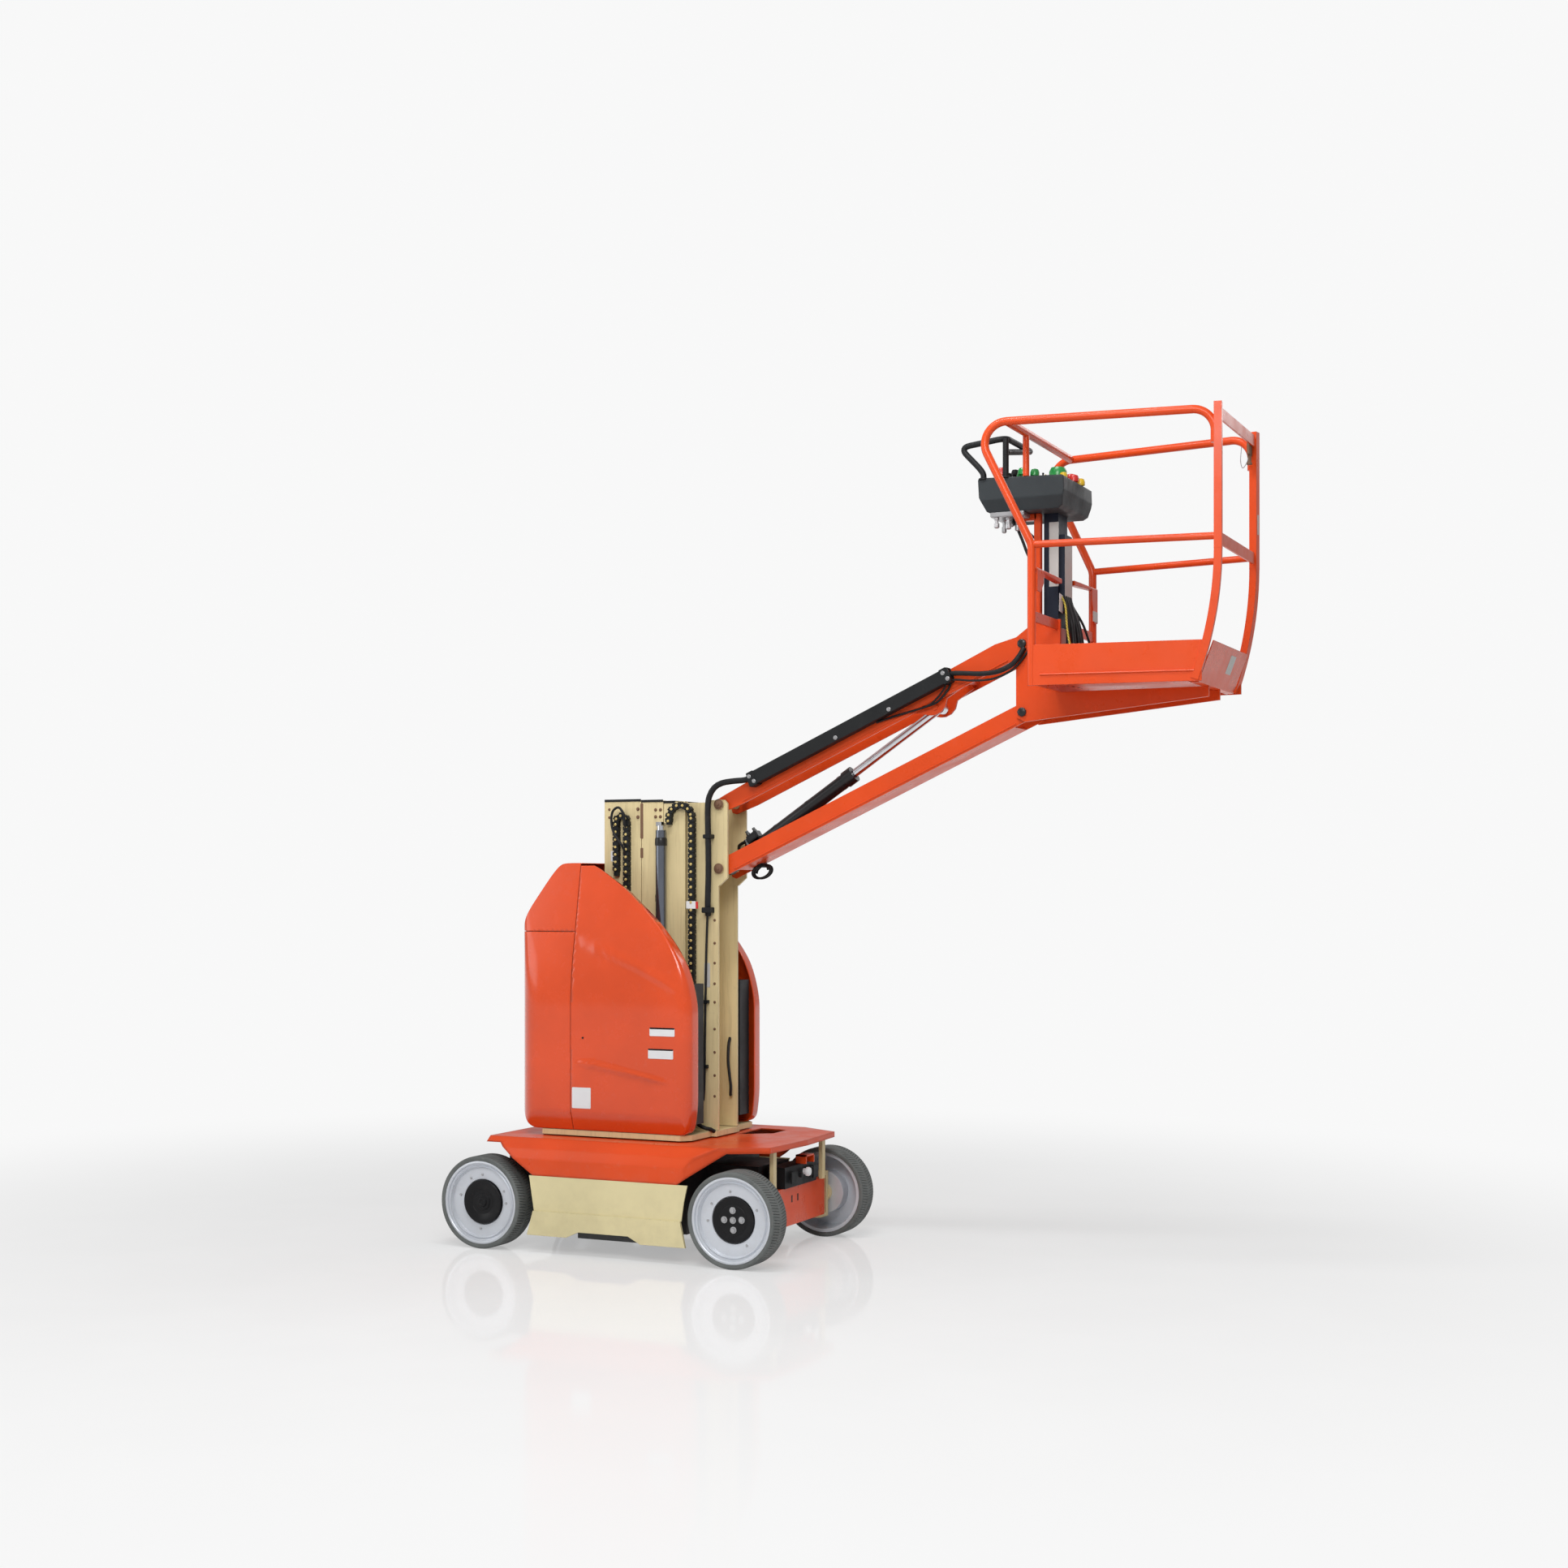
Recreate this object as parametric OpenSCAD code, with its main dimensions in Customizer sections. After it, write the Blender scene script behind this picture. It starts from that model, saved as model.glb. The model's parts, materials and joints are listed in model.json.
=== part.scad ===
// Vertical mast lift: telescopic mast on a slewing turret, parallelogram jib, work basket.
// +X is forward, towards the basket, +Z is up, and the floor is at z = 0.

/* [Wheels] */
// Outer radius of a tyre
tyre_r = 200; // [180:1:215]
// Width of a tyre
tyre_w = 125; // [100:1:130]
// Radius of the steel rim inside the rubber
rim_r = 180; // [160:1:185]
// Distance between front and rear axles
wheelbase = 1210; // [1180:5:1260]
// Distance between the outer faces of two opposite tyres
overall_w = 1040; // [1000:2:1080]
// Radius of the black hub
hub_r = 95; // [70:1:100]
// Depth of the hub's face behind the tyre's outer face
hub_recess = 36; // [20:1:50]

/* [Chassis] */
// Height of the deck's top face
deck_z = 482; // [470:1:500]
// Thickness of the moulded deck cover
deck_t = 5; // [3:0.5:8]
// Width of the deck cover between the wheels
deck_w = 1006; // [980:2:1030]
// Width of the deck's front end, between the steered wheels
deck_front_w = 660; // [600:5:700]
// Distance from the centre to the deck's front edge
deck_front_x = 716; // [700:2:740]
// Distance from the centre to the deck's rear edge
deck_rear_x = 606; // [580:2:625]
// Height of the line between the orange cover and the cream skirt
skirt_top_z = 330; // [310:1:345]
// Height of the step in the skirt
skirt_step_z = 180; // [165:1:200]
// Ground clearance below the skirt
clearance_z = 72; // [60:1:95]
// Clearance between a tyre and the rear edge of its arch
arch_gap = 57; // [45:1:65]

/* [Turret] */
// Half width of the hoods
hood_w = 720; // [690:2:740]
// Height of the hoods' lower edge
hood_z0 = 512; // [505:1:530]
// Height of the hoods' top
hood_z1 = 1668; // [1600:2:1720]
// Distance from the slewing axis to the rear cover
tail_x = 535; // [500:1:560]
// Distance from the slewing axis to the hoods' front edge
hood_front_x = 330; // [315:1:345]
// Wall thickness of the moulded hoods
hood_t = 5; // [3:0.5:8]
// Radius of the slewing ring
ring_r = 190; // [150:1:220]

/* [Mast] */
// Height of the mast's top when it is down
mast_z1 = 1945; // [1800:5:2000]
// Width of the mast sections
mast_w = 220; // [200:1:240]
// Wall thickness of the mast sections
mast_t = 10; // [6:0.5:12]
// Rear face of the fixed section
mast_x0 = -220; // [-235:1:-215]
// Front face of the moving carriage
mast_x1 = 336; // [330:1:345]
// Running clearance between two sections
slide_gap = 0.3; // [0.2:0.1:0.6]

/* [Jib] */
// Forward distance of the jib pins on the carriage
jib_x = 341; // [338:1:350]
// Height of the lower jib pin
jib_z = 1643; // [1500:1:1660]
// Vertical distance between the two pins at each end
pin_pitch = 277; // [265:1:290]
// Length of the jib between pins
jib_l = 1507; // [1450:1:1550]
// Angle of the jib above level
jib_a = 24.6; // [15:0.1:35]
// Diameter of the jib pins
pin_d = 30; // [20:1:34]
// Outer distance between the two bracket plates
bracket_w = 192; // [186:1:200]
// Thickness of the bracket plates
bracket_t = 12; // [8:0.5:14]

/* [Basket] */
// Width across the rear posts
basket_w = 838; // [800:2:880]
// Width across the front posts
basket_front_w = 640; // [600:2:700]
// Distance between the rear and the front posts
basket_l = 706; // [660:2:760]
// Height of the toe board's top edge above its bottom
toe_h = 156; // [120:1:170]
// Height of the mid rail above the floor
mid_h = 548; // [500:1:600]
// Height of the top rail above the floor
top_h = 1032; // [1000:1:1100]
// Height of the console's underside above the floor
console_z = 725; // [690:1:780]
// Diameter of the rail tubes
rail_d = 32; // [25:1:40]

/* [Hidden] */

eps = 0.01;
seat = 0.3;
half_base = wheelbase / 2;
orange = "#de4f2a";
cream = "#d3c28c";
dark = "#2b2d2e";
grey = "#6f7270";
silver = "#c5c9ce";

// A box between two opposite corners
module span(a, b) { translate(a) cube(b - a); }

// An outline in x and z, given a thickness along y from y0 to y1
module slab(points, y0, y1) {
  translate([0, y1, 0]) rotate([90, 0, 0]) linear_extrude(y1 - y0) polygon(points);
}

// A cylinder along y
module rod_y(x, z, d, y0, y1) {
  translate([x, y1, z]) rotate([90, 0, 0]) cylinder(d = d, h = y1 - y0, $fn = 48);
}

// A straight round bar between two points
module bar(a, b, d, fn = 24) {
  v = b - a;
  h = norm(v);
  translate(a) rotate([0, acos(v[2] / h), atan2(v[1], v[0])]) cylinder(d = d, h = h, $fn = fn);
}

// A bent round tube through 2D points [x, y], with the same bend radius at each corner.
// Each straight length is a little thicker than the bends and laps over their ends.
lap = 2;
lap_t = 0.3;
module bent_tube(p, d, r) {
  n = len(p);
  function turn(i) = let (a = p[i] - p[i - 1], b = p[i + 1] - p[i])
    atan2(a[0] * b[1] - a[1] * b[0], a * b);
  function setback(i) = (i == 0 || i == n - 1) ? 0 : r * tan(abs(turn(i)) / 2);
  for (i = [0 : n - 2]) {
    u = (p[i + 1] - p[i]) / norm(p[i + 1] - p[i]);
    a = p[i] + u * (setback(i) - (i > 0 ? lap : 0));
    b = p[i + 1] - u * (setback(i + 1) - (i < n - 2 ? lap : 0));
    bar([a[0], a[1], 0], [b[0], b[1], 0], d + 2 * lap_t);
  }
  for (i = [1 : n - 2]) {
    u = (p[i] - p[i - 1]) / norm(p[i] - p[i - 1]);
    t = turn(i);
    s = sign(t);
    a = p[i] - u * setback(i);
    c = a + s * r * [-u[1], u[0]];
    start = atan2(a[1] - c[1], a[0] - c[0]);
    translate([c[0], c[1], 0]) rotate([0, 0, s > 0 ? start : start + t])
      rotate_extrude(angle = abs(t), $fn = 72) translate([r, 0]) circle(d = d, $fn = 24);
  }
}

// Stand a drawing made in x and y up into x and z
module upright() { rotate([90, 0, 0]) children(); }

// Wheels and what carries them
rim_w = tyre_w - 12;
stub_d = 50;
stub_gap = 0.05;
kingpin_y = overall_w / 2 - 190;
kingpin_d = 34;
knuckle_t = 22;
inner_face = overall_w / 2 - tyre_w;

// A wheel lies along +y from its inner face at 0 to its outer face
module tyre_solid() {
  rotate([-90, 0, 0]) rotate_extrude($fn = 96) polygon([
    [rim_r, 2], [tyre_r - 8, 0], [tyre_r, 8], [tyre_r, tyre_w - 8],
    [tyre_r - 8, tyre_w], [rim_r, tyre_w - 2]]);
}

module rim_solid() {
  disc_y = tyre_w - 30;
  face_y = tyre_w - hub_recess;
  rotate([-90, 0, 0]) rotate_extrude($fn = 96) polygon([
    [stub_d / 2 + stub_gap, 18], [hub_r, 18], [hub_r, disc_y - 14], [rim_r - 28, disc_y - 8],
    [rim_r - 16, 6], [rim_r, 6], [rim_r, tyre_w - 4], [rim_r - 8, tyre_w - 2], [rim_r - 12, tyre_w - 5],
    [rim_r - 14, tyre_w - 14], [rim_r - 20, tyre_w - 16], [rim_r - 26, tyre_w - 10], [rim_r - 32, disc_y + 4],
    [hub_r + 4, disc_y], [hub_r, face_y - 4], [hub_r - 4, face_y], [hub_r - 22, face_y],
    [hub_r - 24, face_y - 6], [stub_d / 2 + 20, face_y - 6], [stub_d / 2 + 18, face_y],
    [stub_d / 2 + stub_gap, face_y]]);
}

module at_wheel(front, side) {
  translate([front * half_base, side * inner_face, tyre_r])
    if (side > 0) children(); else mirror([0, 1, 0]) children();
}

module tyre(front, side) { color(grey) at_wheel(front, side) tyre_solid(); }
module rim(front, side) { color(silver) at_wheel(front, side) rim_solid(); }

// Steering knuckle: a cream C with an arm above and below the axle beam, and a stub axle
beam_z0 = 118;
beam_z1 = 282;
knuckle_h = 18;
module knuckle(side) {
  color(cream) translate([half_base, 0, 0]) mirror([0, side > 0 ? 0 : 1, 0]) {
    post_y = kingpin_y + 36;
    span([-34, post_y, beam_z0 - knuckle_h - seat], [34, post_y + knuckle_t, beam_z1 + knuckle_h + seat]);
    for (z = [beam_z0 - knuckle_h - seat, beam_z1 + seat]) {
      span([-34, kingpin_y, z], [34, post_y + eps, z + knuckle_h]);
      translate([0, kingpin_y, z]) cylinder(r = 34, h = knuckle_h, $fn = 48);
    }
    translate([0, kingpin_y, beam_z0 - knuckle_h - seat])
      cylinder(d = kingpin_d, h = beam_z1 - beam_z0 + 2 * (knuckle_h + seat), $fn = 48);
    translate([0, 0, tyre_r]) rotate([-90, 0, 0]) {
      translate([0, 0, post_y]) cylinder(d = stub_d, h = inner_face + tyre_w - hub_recess + 6 - post_y, $fn = 48);
      translate([0, 0, post_y + knuckle_t - eps]) cylinder(d = 84, h = inner_face + 18 - seat - post_y - knuckle_t, $fn = 48);
      translate([0, 0, inner_face + tyre_w - hub_recess + seat]) cylinder(d = 78, h = 8, $fn = 48);
    }
  }
}

// Orange beam across the front, with an eye at each end for the kingpin
module front_axle_beam() {
  color(orange) difference() {
    union() {
      span([half_base + 40, -kingpin_y + 20, beam_z0], [half_base + 50, kingpin_y - 20, beam_z1]);
      span([half_base - 50, -kingpin_y + 20, beam_z0], [half_base - 40, kingpin_y - 20, beam_z1]);
      span([half_base - 50, -kingpin_y + 20, beam_z1 - 10], [half_base + 50, kingpin_y - 20, beam_z1]);
      span([half_base - 50, -kingpin_y + 20, beam_z0], [half_base + 50, kingpin_y - 20, beam_z0 + 10]);
      for (s = [-1, 1]) translate([half_base, s * kingpin_y, beam_z0]) cylinder(r = 32, h = beam_z1 - beam_z0, $fn = 48);
      for (s = [-1, 1]) span([half_base - 50, s * (kingpin_y - 30) - 10, beam_z0], [half_base + 50, s * (kingpin_y - 30) + 10, beam_z1]);
    }
    for (s = [-1, 1]) translate([half_base, s * kingpin_y, beam_z0 - 1])
      cylinder(d = kingpin_d + 2 * stub_gap, h = beam_z1 - beam_z0 + 2, $fn = 48);
  }
}

// Rear axle: a beam with a stub on each side
module rear_axle() {
  beam_y = inner_face - 30;
  color(dark) {
    span([-half_base - 45, -beam_y, tyre_r - 60], [-half_base + 45, beam_y, tyre_r + 60]);
    for (s = [-1, 1]) translate([-half_base, 0, tyre_r]) mirror([0, s > 0 ? 0 : 1, 0]) rotate([-90, 0, 0]) {
      translate([0, 0, beam_y - eps]) cylinder(d = 120, h = inner_face + 18 - seat - beam_y, $fn = 48);
      cylinder(d = stub_d, h = inner_face + tyre_w - hub_recess + 6, $fn = 48);
      translate([0, 0, inner_face + tyre_w - hub_recess + seat]) cylinder(d = 78, h = 8, $fn = 48);
    }
  }
}

// Welded frame between the axles
frame_x = 316;
frame_w = overall_w - 340;
frame_z0 = 100;
frame_top = deck_z - 48;
turret_z = deck_z + 6;
spine_w = 300;
module chassis_frame() {
  color(dark) {
    span([-frame_x, -frame_w / 2, frame_z0], [frame_x, frame_w / 2, frame_top]);
    span([frame_x - eps, -spine_w / 2, frame_z0 + 10], [half_base - 50, spine_w / 2, frame_top - 60]);
    span([-half_base + 45, -frame_w / 2, frame_z0 + 20], [-frame_x + eps, frame_w / 2, frame_top - 40]);
    translate([0, 0, frame_top - eps]) cylinder(r = ring_r, h = turret_z - seat - frame_top, $fn = 96);
    for (x = [-1, 1], y = [-1, 1]) translate([x * 250, y * (frame_w / 2 - 50), frame_top - eps])
      cylinder(r = 30, h = deck_z - deck_t - seat - frame_top, $fn = 32);
  }
}

// Orange deck cover, open below, with a round arch over each wheel
arch_r = tyre_r + arch_gap;
shoulder = 70;
module deck_outline(inset) {
  w = deck_w / 2 - inset;
  polygon([
    [-deck_rear_x + inset, -w + 40], [-deck_rear_x + inset + 50, -w], [half_base - arch_r + 30, -w],
    [deck_front_x - 60, -deck_front_w / 2 - 20 + inset], [deck_front_x - 20 - inset, -deck_front_w / 2 + inset],
    [deck_front_x - inset, 0], [deck_front_x - 20 - inset, deck_front_w / 2 - inset],
    [deck_front_x - 60, deck_front_w / 2 + 20 - inset], [half_base - arch_r + 30, w],
    [-deck_rear_x + inset + 50, w], [-deck_rear_x + inset, w - 40]]);
}

// Cross-section of the cover, as an outline in y and z, smaller by inset
module deck_section(inset) {
  w = deck_w / 2 - inset;
  top = deck_z - inset;
  polygon([[-w, skirt_top_z - (inset > 0 ? 50 : 0)], [-w, 400], [-w + 20, deck_z - 40 - inset], [-w + shoulder, top],
    [w - shoulder, top], [w - 20, deck_z - 40 - inset], [w, 400], [w, skirt_top_z - (inset > 0 ? 50 : 0)]]);
}

// Lower edge of the cover seen from the side: level along the skirt, higher at both ends
deck_edge = 24;
module deck_side(inset) {
  z = deck_z - deck_edge - inset;
  polygon([[-deck_rear_x - 5, deck_z + 40], [-deck_rear_x - 5, z], [-half_base + 70, z],
    [-half_base + arch_r, skirt_top_z - 5 * inset], [half_base - arch_r, skirt_top_z - 5 * inset],
    [half_base - 70, z], [deck_front_x + 5, z], [deck_front_x + 5, deck_z + 40]]);
}

module deck_solid(inset) {
  intersection() {
    translate([0, 0, skirt_top_z - 60]) linear_extrude(deck_z) deck_outline(inset);
    rotate([90, 0, 90]) translate([0, 0, -900]) linear_extrude(1800) deck_section(inset);
    translate([0, 600, 0]) upright() linear_extrude(1200) deck_side(inset);
  }
}

// Access opening in the deck beside the mast
deck_opening = [[345, 60], [480, 150], [480, 290], [430, 310], [345, 310]];
module deck_cover() {
  color(orange) difference() {
    deck_solid(0);
    deck_solid(deck_t);
    for (f = [-1, 1]) translate([f * half_base, 0, tyre_r]) rotate([90, 0, 0])
      cylinder(r = arch_r - 8, h = 1200, center = true, $fn = 96);
    translate([0, 0, deck_z - 60]) cylinder(r = ring_r + 20, h = 120, $fn = 96);
    translate([0, 0, deck_z - 20]) linear_extrude(40) polygon(deck_opening);
  }
}

// Cream side skirt with its step, and the notch in its lower edge
skirt_t = 6;
module skirt(side) {
  y1 = deck_w / 2;
  x0 = -half_base + arch_r + 2;
  x1 = half_base - arch_r + 22;
  color(cream) mirror([0, side > 0 ? 1 : 0, 0]) {
    slab([[x0 - 20, skirt_top_z - seat], [x0 + 4, skirt_step_z], [x1, skirt_step_z], [x1 + 12, 260],
      [x1 + 28, skirt_top_z - seat]], -y1, -y1 + skirt_t);
    slab([[x0 + 2, skirt_step_z + eps], [x0 - 28, clearance_z + 4], [-180, clearance_z + 4], [-120, clearance_z + 30],
      [120, clearance_z + 30], [180, clearance_z], [x1 + 20, clearance_z], [x1 - 4, skirt_step_z + eps]],
      -y1 - 6, -y1 + skirt_t);
    for (x = [-250, 250]) span([x - 25, -y1 + skirt_t - eps, 140], [x + 25, -frame_w / 2 - seat, 300]);
  }
}

module belly_pan() {
  color("#3c4043") span([-185, -400, 58], [185, 400, frame_z0 - seat]);
}

// Cream uprights beside the control box
module front_uprights() {
  color(cream) for (s = [-1, 1])
    span([half_base + 52, s * 250 - 5, beam_z1 + seat], [half_base + 70, s * 250 + 25, deck_z - deck_t - seat]);
}

module front_control_box() {
  color("#303336") {
    span([half_base - 20, -120, beam_z1 + seat], [half_base + 60, 200, beam_z1 + 90]);
    translate([half_base + 60 - eps, 110, beam_z1 + 55]) rotate([0, 90, 0]) cylinder(d = 34, h = 14, $fn = 32);
  }
}

// Turret
base_top = hood_z0 - seat;
module turret_base() {
  w = hood_w / 2 - 30;
  color(cream) translate([0, 0, turret_z]) linear_extrude(base_top - turret_z)
    polygon([[-tail_x + 62, -w + 130], [-tail_x + 130, -w], [hood_front_x - 60, -w], [hood_front_x - 20, -w + 40],
      [hood_front_x - 20, -mast_w / 2], [mast_x1, -mast_w / 2], [mast_x1, mast_w / 2], [hood_front_x - 20, mast_w / 2],
      [hood_front_x - 20, w - 40], [hood_front_x - 60, w], [-tail_x + 130, w], [-tail_x + 62, w - 130]]);
}

module power_block(side) {
  y0 = 175;
  color("#1f2122") mirror([0, side > 0 ? 0 : 1, 0]) {
    span([-300, y0, hood_z0], [200, hood_w / 2 - 48, 1080]);
    span([100, y0, hood_z0 + 40], [hood_front_x - 25, hood_inner_y - 4, 1150]);
  }
}

// Side view of the hood and covers
hood_seam_x = -246;
hood_inner_y = 270;
module hood_side(inset) {
  offset(delta = -inset) polygon([[-tail_x + 60, hood_z0], [hood_front_x - 16, hood_z0],
    [hood_front_x, hood_z0 + 120], [hood_front_x, 1060], [hood_front_x - 20, 1155],
    [hood_front_x - 48, 1232], [hood_front_x - 90, 1300], [hood_front_x - 138, 1363],
    [hood_front_x - 190, 1420], [hood_front_x - 330, 1547], [hood_front_x - 470, 1639],
    [-200, hood_z1], [-330, hood_z1], [-356, hood_z1 - 14], [-392, hood_z1 - 58], [-tail_x + 44, 1460],
    [-tail_x + 12, 1380], [-tail_x, 1290], [-tail_x, 690], [-tail_x + 10, 620]]);
}

module hood_plan() {
  w = hood_w / 2;
  hull() for (s = [-1, 1]) {
    translate([-tail_x + 130, s * (w - 130)]) circle(r = 130, $fn = 48);
    translate([hood_front_x - 40, s * (w - 40)]) circle(r = 40, $fn = 32);
  }
}

module hood_front_view() {
  w = hood_w / 2;
  polygon([[-w + 28, hood_z0 - 1], [w - 28, hood_z0 - 1], [w, hood_z0 + 85], [w, 1150],
    [w - 90, hood_z1 + 1], [-w + 90, hood_z1 + 1], [-w, 1150], [-w, hood_z0 + 85]]);
}

// Body of the hood with a bevel all round each side face, smaller by inset
hood_bevel = 54;
hood_bevel_y = 36;
module hood_block(inset) {
  w = hood_w / 2 - inset;
  hull() for (b = [[0, hood_bevel_y], [hood_bevel / 4, hood_bevel_y / 3], [hood_bevel, 0]])
    translate([0, w - b[1], 0]) upright() linear_extrude(2 * (w - b[1])) hood_side(inset + b[0]);
}

// Shallow recess across the tail, grown by the wall thickness for the inside
recess_z = [850, 1262];
module tail_recess(grow) {
  slab([[-tail_x - 1, recess_z[0] - 14 - grow], [-tail_x + 9 + grow, recess_z[0]], [-tail_x + 9 + grow, recess_z[1]],
    [-tail_x - 1, recess_z[1] + 14 + grow]], -hood_w, hood_w);
}

module hood_mass() {
  difference() {
    intersection() {
      hood_block(0);
      translate([0, 0, hood_z0 - 1]) linear_extrude(hood_z1) hood_plan();
      rotate([90, 0, 90]) translate([0, 0, -700]) linear_extrude(1400) hood_front_view();
    }
    tail_recess(0);
  }
}

module hood_core() {
  difference() {
    intersection() {
      hood_block(hood_t);
      translate([0, 0, hood_z0 - 1]) linear_extrude(hood_z1) offset(delta = -hood_t) hood_plan();
      rotate([90, 0, 90]) translate([0, 0, -700]) linear_extrude(1400) offset(delta = -hood_t) hood_front_view();
    }
    tail_recess(hood_t);
  }
}

module hood_shell() {
  difference() {
    hood_mass();
    hood_core();
    span([-tail_x + 40, -hood_w / 2 + 40, hood_z0 - 10], [hood_front_x + 10, hood_w / 2 - 40, hood_z0 + 20]);
  }
}

module hood(side) {
  color(orange) intersection() {
    hood_shell();
    mirror([0, side > 0 ? 0 : 1, 0]) span([hood_seam_x, hood_inner_y, hood_z0 - 5], [hood_front_x + 5, 500, hood_z1 + 5]);
  }
}

module rear_cover(low) {
  color(orange) intersection() {
    hood_shell();
    if (low) span([-tail_x - 5, -500, hood_z0 - 5], [hood_seam_x - seat, 500, 1370]);
    else span([-tail_x - 5, -500, 1370 + seat], [hood_seam_x - seat, 500, hood_z1 + 5]);
  }
}

// Mast sections: a channel open to the front, and behind it a tongue that runs in the channel before
mast_z0 = hood_z0;
mast_lip = 16;
tongue = 52;
// Columns: rear face, front face
mast_table = [[mast_x0, -36], [-33, 74], [77, 182], [185, mast_x1]];
function mast_y(i) = i == 3 ? bracket_w / 2 : mast_w / 2;

module channel_outline(i, lips) {
  x0 = mast_table[i][0];
  x1 = mast_table[i][1];
  w = mast_y(i);
  difference() {
    translate([x0, -w]) square([x1 - x0, 2 * w]);
    translate([x0 + mast_t, -w + mast_t]) square([x1 - x0 - mast_t + 1, 2 * (w - mast_t)]);
  }
  if (lips) for (s = [-1, 1]) translate([x1 - mast_t, s > 0 ? w - mast_t - mast_lip : -w + mast_t - eps])
    square([mast_t, mast_lip + eps]);
}

module tongue_outline(i) {
  x0 = mast_table[i][0];
  w = mast_y(i - 1) - mast_t - slide_gap;
  neck = mast_y(i - 1) - mast_t - mast_lip - 3;
  translate([x0 - tongue, -w]) square([14, 2 * w]);
  for (s = [-1, 1]) translate([x0 - tongue, s > 0 ? neck - 14 : -neck]) square([tongue + eps, 14]);
}

module mast_section(i) {
  color(cream) translate([0, 0, mast_z0 + (i > 0 ? 2 : 0)]) linear_extrude(mast_z1 - mast_z0 - 6 * i) {
    channel_outline(i, i < 3);
    if (i > 0) tongue_outline(i);
  }
}

// Lift cylinder on the near side: its barrel on the first moving section, its rod on the second
lift_x = 78;
lift_d = 46;
lift_rod_d = 34;
lift_y = -mast_w / 2 - lift_d / 2 - 6;
lift_top = 1830;
module lift_cylinder_barrel() {
  color("#3a3c40") difference() {
    union() {
      translate([lift_x, lift_y, mast_z0 + 40]) cylinder(d = lift_d, h = lift_top - mast_z0 - 60, $fn = 48);
      for (z = [mast_z0 + 60, 1000, 1500]) span([lift_x - 28, lift_y, z], [lift_x - 8, -mast_w / 2 - seat, z + 30]);
    }
    translate([lift_x, lift_y, mast_z0 + 60]) cylinder(d = lift_rod_d + 2 * seat, h = lift_top, $fn = 48);
  }
}
module lift_cylinder_rod() {
  color(silver) {
    translate([lift_x, lift_y, mast_z0 + 70]) cylinder(d = lift_rod_d, h = lift_top - mast_z0 - 70, $fn = 48);
    span([lift_x - 16, lift_y - 16, lift_top - 2], [lift_x + 10, lift_y + 10, lift_top + 16]);
    span([lift_x, lift_y, lift_top - 1], [lift_x + 8, -mast_w / 2 - seat, lift_top + 12]);
  }
}

// Energy chain along a straight run: a narrow core and wider links on it
link_pitch = 22;
link_l = 17;
link_w = 28;
link_t = 24;
module chain_run(x, z0, z1) {
  y = -mast_w / 2 - seat;
  span([x - link_w / 2 + 4, y - link_t + 3, z0 + 2], [x + link_w / 2 - 4, y, z1 + 3]);
  for (i = [0 : floor((z1 - z0) / link_pitch) - 1])
    span([x - link_w / 2, y - link_t, z1 - link_l - i * link_pitch], [x + link_w / 2, y - 1, z1 - i * link_pitch]);
}

// Half ring of an energy chain over the top of a run
module chain_arch(x, z, r) {
  y = -mast_w / 2 - seat;
  n = floor(PI * r / link_pitch);
  translate([x, y, z]) upright() {
    rotate_extrude(angle = 180, $fn = 96) translate([r - link_w / 2 + 5, 1]) square([link_w - 10, link_t - 5]);
    for (i = [0 : n - 1]) rotate([0, 0, (i + 0.5) * 180 / n])
      translate([r - link_w / 2, -link_l / 2, 1]) cube([link_w, link_l, link_t - 1]);
  }
}

chain_rear_x = -126;
chain_rear_r = 26;
chain_rear_z = [620, 1850];
module cable_chain_rear() {
  color(dark) {
    chain_run(chain_rear_x + chain_rear_r, chain_rear_z[0], chain_rear_z[1]);
    chain_run(chain_rear_x - chain_rear_r, chain_rear_z[1] - 240, chain_rear_z[1]);
    chain_arch(chain_rear_x, chain_rear_z[1], chain_rear_r);
  }
}
chain_front_x = 166;
chain_front_r = 56;
chain_front_z = [620, 1862];
module cable_chain_front() {
  color(dark) {
    chain_run(chain_front_x + chain_front_r, chain_front_z[0], chain_front_z[1]);
    chain_run(chain_front_x - chain_front_r, chain_front_z[1] - 30, chain_front_z[1]);
    chain_arch(chain_front_x, chain_front_z[1], chain_front_r);
  }
}

// Carriage: the front section with the two bracket plates that hold the jib
bracket_x0 = 300;
bracket_x1 = 380;
module mast_carriage() {
  top = mast_z1 - 6;
  w = bracket_w / 2;
  mast_section(3);
  color(cream) {
    for (s = [0, 1]) mirror([0, s, 0])
      slab([[bracket_x0, jib_z - 74], [bracket_x1 - 38, jib_z - 74], [bracket_x1, jib_z - 40],
        [bracket_x1, top - 16], [bracket_x1 - 14, top], [bracket_x0, top]], -w, -w + bracket_t);
  }
  color(dark) for (z = [jib_z, jib_z + pin_pitch], s = [0, 1]) mirror([0, s, 0]) {
    rod_y(jib_x, z, pin_d, -w - 4, 1);
    rod_y(jib_x, z, pin_d + 16, -w - 8, -w - 3);
  }
}

// Jib arms are drawn level along +x from their root pin, then turned up by the jib's angle
arm_y = bracket_w / 2 - bracket_t - 4;
arm_t = 8;
bore_gap = 0.05;
module at_jib(z) { translate([jib_x, 0, z]) rotate([0, -jib_a, 0]) children(); }

module arm_bores(d) {
  for (x = [0, jib_l]) rod_y(x, 0, d, -200, 200);
}

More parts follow.
